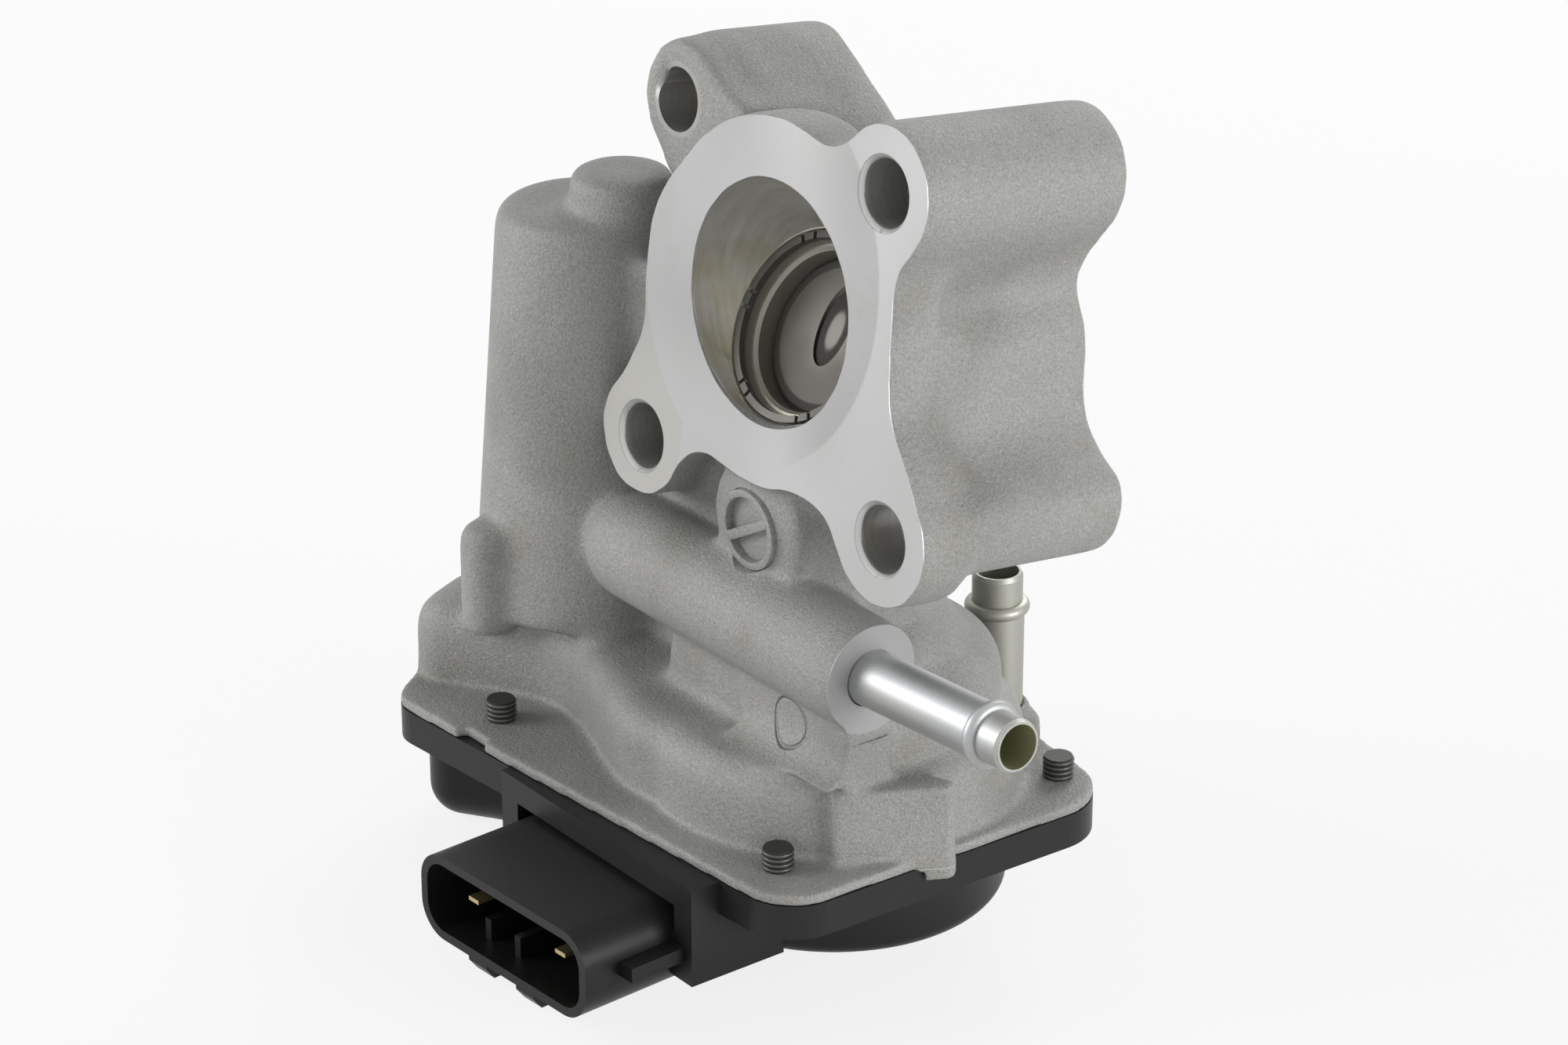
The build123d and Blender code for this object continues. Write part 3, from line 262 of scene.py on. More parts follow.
class Tree:
    """Shader tree with one method for every other node."""

    def __init__(self, owner: Union[bpy.types.Material, bpy.types.World]) -> None:
        """Start from an empty tree.

        Args:
            owner: Material or world that owns the tree.
        """
        owner.use_nodes = True
        self.tree = owner.node_tree
        self.tree.nodes.clear()

    def feed(self, socket: bpy.types.NodeSocket, item: Any) -> None:
        """Link or set one input.

        Args:
            socket: Input to fill.
            item: Wire, socket or constant.
        """
        value = item.value if isinstance(item, Wire) else item
        if isinstance(value, bpy.types.NodeSocket):
            self.tree.links.new(value, socket)
            return
        if hasattr(value, "__len__") and len(value) == 3 and socket.type == "RGBA":
            value = (*value, 1.0)
        socket.default_value = value

    def add(
        self,
        kind: str,
        settings: Optional[dict[str, Any]] = None,
        inputs: Optional[dict[Any, Any]] = None,
    ) -> bpy.types.Node:
        """Add a node.

        Args:
            kind: Node type.
            settings: Properties of the node.
            inputs: Values of its inputs, by name or index.

        Returns:
            The new node.
        """
        node = self.tree.nodes.new(kind)
        for name, value in (settings or {}).items():
            setattr(node, name, value)
        for name, value in (inputs or {}).items():
            self.feed(node.inputs[name], value)
        return node

    def point(self) -> bpy.types.NodeSocket:
        """Object coordinates."""
        return self.add("ShaderNodeTexCoord").outputs["Object"]

    def axes(self) -> tuple[Wire, Wire, Wire]:
        """Object coordinates in millimetres, one wire for each axis."""
        node = self.add("ShaderNodeSeparateXYZ", inputs={0: self.point()})
        return tuple(Wire(self, node.outputs[index]) * (1 / MM) for index in range(3))

    def vector(self, x: Any, y: Any, z: Any) -> bpy.types.NodeSocket:
        """Join three values into a vector."""
        return self.add("ShaderNodeCombineXYZ", inputs={0: x, 1: y, 2: z}).outputs[0]

    def noise(
        self, scale: float, detail: float = 3.0, roughness: float = 0.5, where: Any = None
    ) -> Wire:
        """Noise of a size given in cycles per metre.

        Args:
            scale: Cycles per metre.
            detail: Octaves.
            roughness: Share of each finer octave.
            where: Coordinates, or None for the object's own.

        Returns:
            The noise factor.
        """
        spot = self.point() if where is None else where
        node = self.add(
            "ShaderNodeTexNoise",
            inputs={"Vector": spot, "Scale": scale, "Detail": detail, "Roughness": roughness},
        )
        return Wire(self, node.outputs[0])

    def mix(self, factor: Any, first: Any, second: Any) -> Wire:
        """Blend two colours.

        Args:
            factor: Share of the second colour.
            first: First colour.
            second: Second colour.

        Returns:
            The blended colour.
        """
        node = self.add("ShaderNodeMix", {"data_type": "RGBA"})
        self.feed(node.inputs["Factor"], factor)
        colours = [socket for socket in node.inputs if socket.type == "RGBA"]
        self.feed(colours[0], first)
        self.feed(colours[1], second)
        result = [socket for socket in node.outputs if socket.type == "RGBA"][0]
        return Wire(self, result)

    def tone(self, colour: Any, value: Any) -> Wire:
        """Scale a colour by a value.

        Args:
            colour: Colour to scale.
            value: Brightness factor.

        Returns:
            The scaled colour.
        """
        node = self.add("ShaderNodeVectorMath", {"operation": "SCALE"})
        self.feed(node.inputs[0], colour)
        self.feed(node.inputs["Scale"], value)
        return Wire(self, node.outputs[0])

    def bump(self, height: Wire) -> bpy.types.NodeSocket:
        """Normal from a height in metres.

        Args:
            height: Height of the surface.

        Returns:
            The normal output.
        """
        inputs = {"Height": height, "Distance": 1.0, "Strength": 1.0}
        return self.add("ShaderNodeBump", inputs=inputs).outputs["Normal"]

    def seen(self) -> Wire:
        """One for rays of the camera and for those that metal or glass sends on."""
        path = self.add("ShaderNodeLightPath")
        camera, glossy, through = (
            Wire(self, path.outputs[f"Is {name} Ray"])
            for name in ("Camera", "Glossy", "Transmission")
        )
        return camera.highest(glossy).highest(through)

    def finish(self, constants: dict[str, Any], links: dict[str, Any]) -> None:
        """Add the shader and the output.

        Args:
            constants: Plain values on the shader.
            links: Varying values on the shader.
        """
        shader = self.add("ShaderNodeBsdfPrincipled", inputs={**constants, **links})
        self.add("ShaderNodeOutputMaterial", inputs={"Surface": shader.outputs[0]})


class Surface(ABC):
    """A finish that can dress a shader tree."""

    name: str

    @abstractmethod
    def dress(self, tree: Tree) -> None:
        """Add the nodes of the finish.

        Args:
            tree: Empty tree of the material.
        """


class Zone(Enum):
    """Parts of a surface that a finish can colour apart: the nozzle's ring, and painted shade on
    the disc's bevel and round the shaft end.
    """

    RETAINER = "staked ring in front of the nozzle"
    # Painted shade on the bevel round the disc.
    BEVEL = "bevel round the disc"
    # Painted shade round the shaft end, which makes the end look recessed.
    SHAFT_END_SHADE = "rim of the shaft end"

    def share(self, tree: Tree) -> Wire:
        """Share of the zone at each point, from the valve's own axes.

        Args:
            tree: Tree of the material.

        Returns:
            One inside the zone and nought outside.
        """
        x, y, z = tree.axes()
        back = y - LAYOUT.valve_y
        # Painted shade: dark outer band of the shaft end, which fakes a recess.
        if self is Zone.SHAFT_END_SHADE:
            return x.reach(back).ramp(*LAYOUT.shaft_end_shade) * (z > LAYOUT.shaft_shade_low)
        lift = z - LAYOUT.disc_z
        ahead = lift * math.sin(LAYOUT.nozzle_tilt) - back * math.cos(LAYOUT.nozzle_tilt)
        if self is Zone.RETAINER:
            return ahead.ramp(*LAYOUT.retainer) * 0.85
        # Painted shade: a darker band on the disc's bevel.
        radius = (x * x + back * back + lift * lift - ahead * ahead).highest(0.0).root()
        return radius.ramp(*LAYOUT.bevel)


@dataclass(frozen=True)
class Finish(Surface):
    """Plain surface with a drifting colour and a fine grain.

    Attributes:
        name: Name of the material.
        colour: Base colour.
        tint: Second colour that drifts through it.
        metallic: Share of metal.
        rough: Middle roughness.
        spread: Change of roughness over the surface.
        grain: Grain size in cycles per metre.
        height: Grain height in metres.
        drift: Size of the colour drift in cycles per metre.
        speckle: Contrast of the fine speckle.
        zone: Part of the surface coloured apart, for the nozzle its ring and for the disc and the
            shaft painted shade.
        zone_colour: Colour of that part.
        zone_rough: Roughness added there.
    """

    name: str
    colour: Triple
    tint: Triple
    metallic: float
    rough: float
    spread: float = 0.1
    grain: float = 1500.0
    height: float = 0.00001
    drift: float = 70.0
    speckle: float = 0.08
    zone: Optional[Zone] = None
    zone_colour: Triple = (0.1, 0.1, 0.1)
    zone_rough: float = 0.2

    def dress(self, tree: Tree) -> None:
        """Add the nodes of the finish.

        Args:
            tree: Empty tree of the material.
        """
        drift = tree.noise(self.drift, 2.0).ramp(0.35, 0.65)
        grain = tree.noise(self.grain, 3.0)
        colour = tree.mix(drift, self.colour, self.tint)
        colour = tree.tone(colour, 1.0 + (grain - 0.5) * (2 * self.speckle))
        rough = self.rough + (drift - 0.5) * self.spread + (grain - 0.5) * self.spread
        normal = tree.bump(grain * self.height)
        if self.zone is not None:
            share = self.zone.share(tree)
            colour = tree.mix(share, colour, self.zone_colour)
            rough = rough + share * self.zone_rough
        tree.finish(
            {"Metallic": self.metallic},
            {"Base Color": colour, "Roughness": rough, "Normal": normal},
        )


class CastZones:
    """Where the casting is cast, machined, turned or drilled.

    The constants say how far from its true place a surface still counts, in millimetres,
    and HOLE_R up to which radius a point belongs to a bolt hole.
    """

    FACE = 0.12
    REAR = 0.15
    JOINT = 0.06
    BORE_ROOM = 0.06
    RING_ROOM = 0.3
    MOUTH_ROOM = 0.02
    HOLE_R = 5.35

    def __init__(self, tree: Tree) -> None:
        """Work out the place and the masks.

        Args:
            tree: Tree of the material.
        """
        self.x, self.y, self.z = tree.axes()
        self.depth = self.y * PORT_BACK.y + self.z * PORT_BACK.z
        self.rise = self.y * PORT_UP.y + self.z * PORT_UP.z
        self.radius = self.x.reach(self.rise)
        front = (abs(self.depth) < self.FACE) * (self.x > LAYOUT.face_left)
        front = front * (self.rise > LAYOUT.face_low)
        rear = (self.depth > LAYOUT.port_length - self.REAR) * (self.rise > LAYOUT.rear_low)
        from_gallery = (self.y - LAYOUT.gallery_y).reach(self.z - LAYOUT.gallery_z)
        at_end = abs(self.x - LAYOUT.gallery_x) < self.FACE
        self.ring = at_end * (from_gallery < LAYOUT.gallery_r + self.RING_ROOM)
        joint = abs(self.z - LAYOUT.gasket_z) < self.JOINT
        bore = (self.radius < LAYOUT.bore_r + self.BORE_ROOM) * (self.depth > self.FACE)
        self.bolts = Wire(tree, 0.0)
        for x, rise, _ in BOLTS:
            hole = (self.x - x).reach(self.rise - rise) < self.HOLE_R
            self.bolts = hole.highest(self.bolts)
        flat = front.highest(rear).highest(self.ring).highest(joint)
        self.flat = flat * (1.0 - bore)
        self.turned = bore.highest(self.bolts * (self.depth > self.FACE))
        self.cast = (1.0 - self.flat).lowest(1.0 - self.turned)


@dataclass(frozen=True)
class CastFinish(Surface):
    """Cast aluminium skin, machined faces, turned bore and drilled holes.

    Attributes:
        name: Name of the material.
        skin: Colours of the cast skin.
        stain: Olive stain on the skin.
        face: Colours of the machined faces.
        dull: Dull spots on them.
        patch: Colour of the lower left lobe.
        wall: Colours of the bore wall.
        drilled: Colour of the bolt holes, darker than the bore wall as painted shade inside them.
        chamfer: Colour of their chamfers.
        stamp: Place of the round groove on the coolant block, across and up.
        stamp_r: Its radius.
        stamp_y: Depth in front of which it lies.
        seat: Middle of the gasket's print on the front face, across and up.
        seat_r: Its radius.
        print_x: Places across between which the print comes in.
        lobe_x: The lower left lobe lies left of this.
        lobe_r: Distance from the port at which the lobe begins.
        painted_shade_x: Places across between which the painted shade on the upper left of the
            front face goes out.
        painted_shade_rise: Heights between which it comes in.
        mill: Middle of the face mill's arcs, across and up.
    """

    name: str = "cast aluminium"
    skin: tuple[Triple, Triple] = ((0.265, 0.262, 0.25), (0.215, 0.213, 0.203))
    stain: Triple = (0.22, 0.212, 0.175)
    face: tuple[Triple, Triple] = ((0.46, 0.46, 0.457), (0.40, 0.40, 0.397))
    dull: Triple = (0.40, 0.39, 0.36)
    patch: Triple = (0.36, 0.35, 0.31)
    wall: tuple[Triple, Triple] = ((0.47, 0.46, 0.43), (0.4, 0.375, 0.29))
    drilled: Triple = (0.25, 0.25, 0.245)
    chamfer: Triple = (0.6, 0.6, 0.59)
    stamp: Pair = (11.9, -56.6)
    stamp_r: float = 3.4
    stamp_y: float = -2.0
    seat: Pair = (-6.3, 4.7)
    seat_r: float = 28.9
    print_x: Pair = (4.0, 18.0)
    lobe_x: float = -16.0
    lobe_r: float = 27.2
    painted_shade_x: Pair = (-16.0, 4.0)
    painted_shade_rise: Pair = (-22.0, -4.0)
    mill: Pair = (-60.0, -20.0)

    def dress(self, tree: Tree) -> None:
        """Add the nodes of the finish.

        Args:
            tree: Empty tree of the material.
        """
        zones = CastZones(tree)
        grain = tree.noise(2300.0, 3.0, 0.65)
        swing = (zones.x - self.mill[0]).reach(zones.rise - self.mill[1])
        arcs = (swing * 7.0 + tree.noise(60.0, 1.0) * 6.0).sine()
        waves = (zones.depth + tree.noise(40.0, 2.0) * 4.0) * 5.0
        lines = waves.sine() * tree.noise(90.0, 2.0)
        colour = tree.mix(zones.flat, self.skin_colour(tree, grain), self.faced(tree, zones, arcs))
        colour = tree.mix(zones.turned, colour, self.bored(tree, zones, lines))
        rough = 0.6 - zones.flat * 0.2 - zones.turned * 0.2 + (grain - 0.5) * 0.1
        tree.finish(
            {"Specular IOR Level": 0.3},
            {
                "Base Color": colour,
                "Roughness": rough,
                "Metallic": 0.18 + zones.flat * 0.32 + zones.turned * 0.37,
                "Normal": tree.bump(self.height(tree, zones, grain, arcs, lines)),
            },
        )

    def skin_colour(self, tree: Tree, grain: Wire) -> Wire:
        """Colour of the cast skin.

        Args:
            tree: Tree of the material.
            grain: Fine grain of the skin.

        Returns:
            The colour.
        """
        specks = tree.noise(5200.0, 1.0, 0.5)
        drift = tree.noise(45.0, 2.0).ramp(0.42, 0.68)
        olive = tree.noise(95.0, 3.0, 0.6).ramp(0.52, 0.74)
        skin = tree.mix(olive * 0.4, tree.mix(drift, *self.skin), self.stain)
        return tree.tone(skin, 1.12 + (grain - 0.5) * 0.9 + (specks - 0.5) * 1.0)

    def faced(self, tree: Tree, zones: CastZones, arcs: Wire) -> Wire:
        """Colour of the machined faces, with the print of the gasket and painted shade on the
        upper left of the front face.

        Args:
            tree: Tree of the material.
            zones: Masks of the casting.
            arcs: Arcs of the face mill.

        Returns:
            The colour.
        """
        x, rise = zones.x, zones.rise
        lobe = (x < self.lobe_x) * (zones.radius - self.lobe_r).ramp(0.0, 0.5) * (rise < 0.0)
        from_seat = (x - self.seat[0]).reach(rise - self.seat[1])
        crescent = (from_seat - self.seat_r).ramp(-0.3, 0.3, 1.0, 0.0) * x.ramp(*self.print_x)
        # Painted shade: the upper left of the front face darker.
        upper = x.ramp(*self.painted_shade_x, 1.0, 0.0) * rise.ramp(*self.painted_shade_rise)
        face = tree.mix(tree.noise(30.0, 1.0).ramp(0.35, 0.65), *self.face)
        face = tree.mix(tree.noise(110.0, 4.0, 0.7).ramp(0.5, 0.75) * 0.5, face, self.dull)
        face = tree.mix(lobe * 0.5, face, self.patch)
        face = tree.tone(face, 1.12 + arcs * 0.01 - crescent * 0.24 - upper * 0.2)
        return tree.tone(face, 1.0 - zones.ring * 0.3)

    def bored(self, tree: Tree, zones: CastZones, lines: Wire) -> Wire:
        """Colour of the bore wall and the bolt holes, with painted shade inside the holes.

        Args:
            tree: Tree of the material.
            zones: Masks of the casting.
            lines: Turning lines.

        Returns:
            The colour.
        """
        depth = zones.depth
        chamfer_end = LAYOUT.mouth_depth + zones.MOUTH_ROOM
        chamfer = zones.bolts * (depth > 0.0) * (depth < chamfer_end)
        along = tree.vector(zones.x * 0.12, zones.rise * 0.12, depth * 1.4)
        streaks = tree.noise(1.0, 4.0, 0.65, along)
        wall = tree.mix(tree.noise(70.0, 3.0, 0.6).ramp(0.45, 0.7), *self.wall)
        wall = tree.tone(wall, 1.0 + lines * (0.03 + zones.bolts * 0.08) + (streaks - 0.5) * 0.6)
        # Painted shade: the bolt holes darker inside.
        wall = tree.mix(zones.bolts * 0.6, wall, self.drilled)
        return tree.mix(chamfer, wall, self.chamfer)

    def height(
        self, tree: Tree, zones: CastZones, grain: Wire, arcs: Wire, lines: Wire
    ) -> Wire:
        """Height of grain, tool marks and the round groove, in metres.

        Args:
            tree: Tree of the material.
            zones: Masks of the casting.
            grain: Fine grain of the skin.
            arcs: Arcs of the face mill.
            lines: Turning lines.

        Returns:
            The height.
        """
        lumps = tree.noise(900.0, 2.0, 0.5)
        from_stamp = (zones.x - self.stamp[0]).reach(zones.z - self.stamp[1])
        groove = abs(from_stamp - self.stamp_r).ramp(0.0, 0.4, 1.0, 0.0)
        groove = groove * (zones.y < self.stamp_y)
        height = ((grain - 0.5) * 0.00019 + (lumps - 0.5) * 0.00008) * zones.cast
        height = height + arcs * zones.flat * 0.0000004 + lines * zones.turned * 0.0000012
        return height - groove * 0.0005


@dataclass(frozen=True)
class MouldedFinish(Surface):
    """Satin black plastic of the cover, with painted shade: darker towards the bottom and lighter
    on the rim.

    Attributes:
        name: Name of the material.
        low: Colour of the lower cover, darkened as painted shade.
        high: Colour of its rim, lightened as painted light.
        step: Height of the step between them.
        painted_shade_fade: Heights from the step between which the painted shade gives way to the
            painted light.
    """

    name: str = "cover plastic"
    low: Triple = (0.0045, 0.0045, 0.0047)
    high: Triple = (0.013, 0.013, 0.0133)
    step: float = -81.0
    painted_shade_fade: Pair = (-9.0, 1.0)

    def dress(self, tree: Tree) -> None:
        """Add the nodes of the finish.

        Args:
            tree: Empty tree of the material.
        """
        z = tree.axes()[2]
        fine = tree.noise(1800.0, 3.0)
        wide = tree.noise(50.0, 2.0)
        # Painted shade: the cover darker towards the bottom, with painted light on the rim.
        colour = tree.mix((z - self.step).ramp(*self.painted_shade_fade), self.low, self.high)
        tree.finish(
            {"Specular IOR Level": 0.26},
            {
                "Base Color": tree.tone(colour, 1.0 + (fine - 0.5) * 0.12),
                "Roughness": 0.42 + (wide - 0.5) * 0.12 + (fine - 0.5) * 0.08,
                "Normal": tree.bump((fine - 0.5) * 0.000012),
            },
        )


@dataclass(frozen=True)
class ScrewFinish(Surface):
    """Cover screws: pale heads below, dark thread ends above.

    Attributes:
        name: Name of the material.
        head: Colour of the heads.
        end: Colour of the thread ends.
        crest: Colour of the thread crests.
        crest_r: Radius at which the crests begin.
    """

    name: str = "screw steel"
    head: Triple = (0.46, 0.46, 0.42)
    end: Triple = (0.042, 0.043, 0.038)
    crest: Triple = (0.115, 0.115, 0.1)
    crest_r: float = 2.06

    def dress(self, tree: Tree) -> None:
        """Add the nodes of the finish.

        Args:
            tree: Empty tree of the material.
        """
        x, y, z = tree.axes()
        fine = tree.noise(2200.0, 3.0)
        dark = (z - LAYOUT.rim_z).ramp(0.2, 1.0)
        away = Wire(tree, 99.0)
        for at_x, at_y in SCREWS:
            away = (x - at_x).reach(y - at_y).lowest(away)
        crest = (away - self.crest_r).ramp(0.0, 0.2) * (z > LAYOUT.plate_z)
        colour = tree.mix(crest, tree.mix(dark, self.head, self.end), self.crest)
        tree.finish(
            {"Metallic": 0.6},
            {
                "Base Color": tree.tone(colour, 1.0 + (fine - 0.5) * 0.3),
                "Roughness": 0.36 + dark * 0.08 + (fine - 0.5) * 0.12,
                "Normal": tree.bump((fine - 0.5) * 0.00001),
            },
        )


@dataclass(frozen=True)
class PipeFinish(Surface):
    """Zinc of the pipes, with yellow passivation inside and in patches.

    Attributes:
        name: Name of the material.
        zinc: Colour of the bare zinc.
        yellow: Colour of the patches.
        inner: Colour inside the front pipe.
        slope: Rise of the front pipe for each millimetre outwards.
        hollow: Radii between which its inside ends.
        rear_x: The rear pipe lies left of this.
    """

    name: str = "pipe steel"
    zinc: Triple = (0.42, 0.43, 0.435)
    yellow: Triple = (0.36, 0.35, 0.26)
    inner: Triple = (0.3, 0.3, 0.17)
    slope: float = 0.0612
    hollow: Pair = (3.1, 3.2)
    rear_x: float = 10.0

    def dress(self, tree: Tree) -> None:
        """Add the nodes of the finish.

        Args:
            tree: Empty tree of the material.
        """
        fine = tree.noise(1600.0, 3.0)
        x, y, z = tree.axes()
        sag = z - LAYOUT.gallery_z - (x - LAYOUT.gallery_x) * self.slope
        inside = sag.reach(y - LAYOUT.gallery_y).ramp(*self.hollow, 1.0, 0.0)
        inside = inside * (x > LAYOUT.gallery_x)
        patches = tree.noise(60.0, 2.0, 0.5).ramp(0.42, 0.7, 0.0, 0.55)
        yellow = patches.highest((x < self.rear_x) * 0.5)
        colour = tree.tone(tree.mix(yellow, self.zinc, self.yellow), 1.0 + (fine - 0.5) * 0.12)
        tree.finish(
            {"Specular IOR Level": 0.5},
            {
                "Metallic": 0.85 - inside * 0.6,
                "Base Color": tree.mix(inside, colour, self.inner),
                "Roughness": 0.46 + yellow * 0.04 + inside * 0.1 + (fine - 0.5) * 0.05,
                "Normal": tree.bump((fine - 0.5) * 0.000004),
            },
        )


FINISHES: dict[str, Surface] = {
    "cast_aluminium": CastFinish(),
    "cover_plastic": MouldedFinish(),
    "screw_steel": ScrewFinish(),
    "pipe_steel": PipeFinish(),
    "nozzle_steel": Finish(
        "nozzle steel",
        (0.34, 0.325, 0.285),
        (0.27, 0.26, 0.22),
        0.6,
        0.4,
        zone=Zone.RETAINER,
        zone_colour=(0.075, 0.073, 0.067),
    ),
    "disc_steel": Finish(
        "disc steel",
        (0.1, 0.092, 0.08),
        (0.078, 0.072, 0.062),
        0.4,
        0.5,
        zone=Zone.BEVEL,
        # painted shade on the disc's bevel
        zone_colour=(0.05, 0.047, 0.04),
    ),
    "shaft_steel": Finish(
        "shaft steel",
        (0.11, 0.103, 0.092),
        (0.08, 0.075, 0.066),
        0.45,
        0.48,
        zone=Zone.SHAFT_END_SHADE,
        # painted shade round the shaft end
        zone_colour=(0.02, 0.018, 0.015),
    ),
    "bronze": Finish("bronze", (0.42, 0.28, 0.14), (0.34, 0.21, 0.1), 0.9, 0.4),
    "seal_rubber": Finish("rubber", (0.018, 0.018, 0.018), (0.03, 0.03, 0.03), 0.0, 0.6),
    "bearing_steel": Finish("bearing steel", (0.5, 0.5, 0.51), (0.4, 0.4, 0.4), 0.95, 0.22),
    "gear_plastic": Finish("gear plastic", (0.62, 0.59, 0.48), (0.55, 0.51, 0.4), 0.0, 0.42),
    "magnet": Finish("magnet", (0.06, 0.06, 0.065), (0.09, 0.09, 0.09), 0.5, 0.5),
    "guide_plastic": Finish("guide plastic", (0.03, 0.03, 0.03), (0.045, 0.045, 0.045), 0.0, 0.45),
    "spring_steel": Finish("spring steel", (0.25, 0.26, 0.28), (0.17, 0.16, 0.15), 0.9, 0.35),
    "motor_steel": Finish("motor steel", (0.42, 0.42, 0.4), (0.34, 0.34, 0.3), 0.85, 0.38),
    "pinion_brass": Finish("pinion brass", (0.56, 0.4, 0.16), (0.45, 0.31, 0.12), 0.95, 0.3),
    "terminal_brass": Finish("terminal brass", (0.56, 0.45, 0.24), (0.46, 0.36, 0.2), 0.9, 0.3),
}


class Painter:
    """Makes the procedural materials, one for each slot of the record."""

    def __init__(self) -> None:
        """Start with no material."""
        self.made: dict[str, bpy.types.Material] = {}

    def get(self, slot: str) -> bpy.types.Material:
        """Return the material of a slot, made at its first use.

        Args:
            slot: Material slot of the record.

        Returns:
            The material.
        """
        if slot not in self.made:
            finish = FINISHES[slot]
            self.made[slot] = bpy.data.materials.new(finish.name)
            finish.dress(Tree(self.made[slot]))
        return self.made[slot]

    def paint(self, item: bpy.types.Object, slot: str) -> None:
        """Give an object the material of a slot.

        Args:
            item: Object to paint.
            slot: Material slot of the record.
        """
        item.data.materials.clear()
        item.data.materials.append(self.get(slot))


def new_object(name: str, data: bpy.types.ID) -> bpy.types.Object:
    """Link a new object at the origin.

    Args:
        name: Name of the object.
        data: Its mesh, lamp or camera.

    Returns:
        The object.
    """
    item = bpy.data.objects.new(name, data)
    bpy.context.scene.collection.objects.link(item)
    return item


def port_point(x: float, rise: float, depth: float) -> Vector:
    """Point given across and along the port, all in millimetres."""
    return (Vector((x, 0.0, 0.0)) + PORT_UP * rise + PORT_BACK * depth) * MM


class Lathe:
    """Closed solids made of rings: cutting tools, fillings and the core mark."""

    STEPS = 128

    def __init__(self) -> None:
        """Start an empty mesh."""
        self.mesh = bmesh.new()

    def chain(self, rings: Sequence[Sequence[Vector]]) -> None:
        """Add one closed solid through a list of rings.

        Args:
            rings: Rings of equal length, in order along the solid.
        """
        rows = [[self.mesh.verts.new(point) for point in ring] for ring in rings]
        for near, far in zip(rows, rows[1:]):
            self.join(near, far)
        self.mesh.faces.new(list(reversed(rows[0])))
        self.mesh.faces.new(rows[-1])

    def join(self, near: Sequence[bmesh.types.BMVert], far: Sequence[bmesh.types.BMVert]) -> None:
        """Join two rings of vertices with faces.

        Args:
            near: First ring.
            far: Second ring.
        """
        for index in range(len(near)):
            after = (index + 1) % len(near)
            self.mesh.faces.new((near[index], near[after], far[after], far[index]))

    def ring(self, centre: Vector, across: Vector, up: Vector, radius: float) -> list[Vector]:
        """Return the points of a circle.

        Args:
            centre: Middle, in metres.
            across: First direction.
            up: Second direction.
            radius: Radius in millimetres.

        Returns:
            The points.
        """
        points = []
        for index in range(self.STEPS):
            angle = 2 * math.pi * index / self.STEPS
            offset = across * math.cos(angle) + up * math.sin(angle)
            points.append(centre + offset * (radius * MM))
        return points

    def port_ring(self, x: float, rise: float, depth: float, radius: float) -> list[Vector]:
        """Circle square to the port, all in millimetres."""
        return self.ring(port_point(x, rise, depth), ACROSS, PORT_UP, radius)

    def box(self, centre: Vector, axes: Sequence[Vector], half: Sequence[float]) -> None:
        """Add a box.

        Args:
            centre: Middle, in metres.
            axes: Its three directions.
            half: Half its size along each, in millimetres.
        """
        corners = []
        for side in (-1, 1):
            row = []
            for a, b in ((-1, -1), (1, -1), (1, 1), (-1, 1)):
                flat = axes[0] * (a * half[0]) + axes[1] * (b * half[1])
                row.append(centre + (flat + axes[2] * (side * half[2])) * MM)
            corners.append(row)
        self.chain(corners)

    def result(self, name: str) -> bpy.types.Object:
        """Return the solids as one object.

        Args:
            name: Name of the object.

        Returns:
            The object.
        """
        bmesh.ops.recalc_face_normals(self.mesh, faces=self.mesh.faces)
        mesh = bpy.data.meshes.new(name)
        self.mesh.to_mesh(mesh)
        self.mesh.free()
        return new_object(name, mesh)


@dataclass(frozen=True)
class Softening:
    """How far the casting is rounded.

    Attributes:
        voxel: Size of the remesh in metres.
        rounds: Number of smoothing steps.
        share: Share of each step.
        triangles: Largest number of triangles before the cuts.
        stretch: How far machined ends are moved out before the smoothing, in millimetres.
        near: How close to a machined end a vertex counts as its own, in millimetres.
        sharp: Angle above which an edge is shaded sharp, in degrees.
    """

    voxel: float = 0.00046
    rounds: int = 36
    share: float = 0.6
    triangles: int = 170000
    stretch: float = 2.2
    near: float = 0.45
    sharp: float = 38.0


@dataclass(frozen=True)
class Well:
    """Round hole from below whose wall the smoothing leaves alone, in millimetres.

    Attributes:
        x: Place across.
        y: Place in depth.
        radius: Radius up to which vertices are held.
        top: Height below which they are held.
    """

    x: float
    y: float
    radius: float
    top: float


@dataclass(frozen=True)
class Hold:
    """Box in which the smoothing works less, in millimetres.

    Attributes:
        low: Its lowest corner.
        high: Its highest corner.
        weight: Share of the smoothing that is left.
    """

    low: Triple
    high: Triple
    weight: float


FAR = math.inf
WELLS = (Well(0.0, LAYOUT.valve_y, 10.0, -15.5), Well(-48.5, 4.0, 10.9, -3.0))
HOLDS = (
    Hold((-1.0, -13.0, -63.5), (25.5, 0.0, -44.0), 0.3),
    Hold((19.0, -FAR, -79.0), (FAR, 11.0, -61.0), 0.25),
    Hold((-FAR, -FAR, -FAR), (FAR, FAR, -72.6), 0.12),
    Hold((-FAR, -FAR, -FAR), (FAR, FAR, -75.0), 0.04),
)


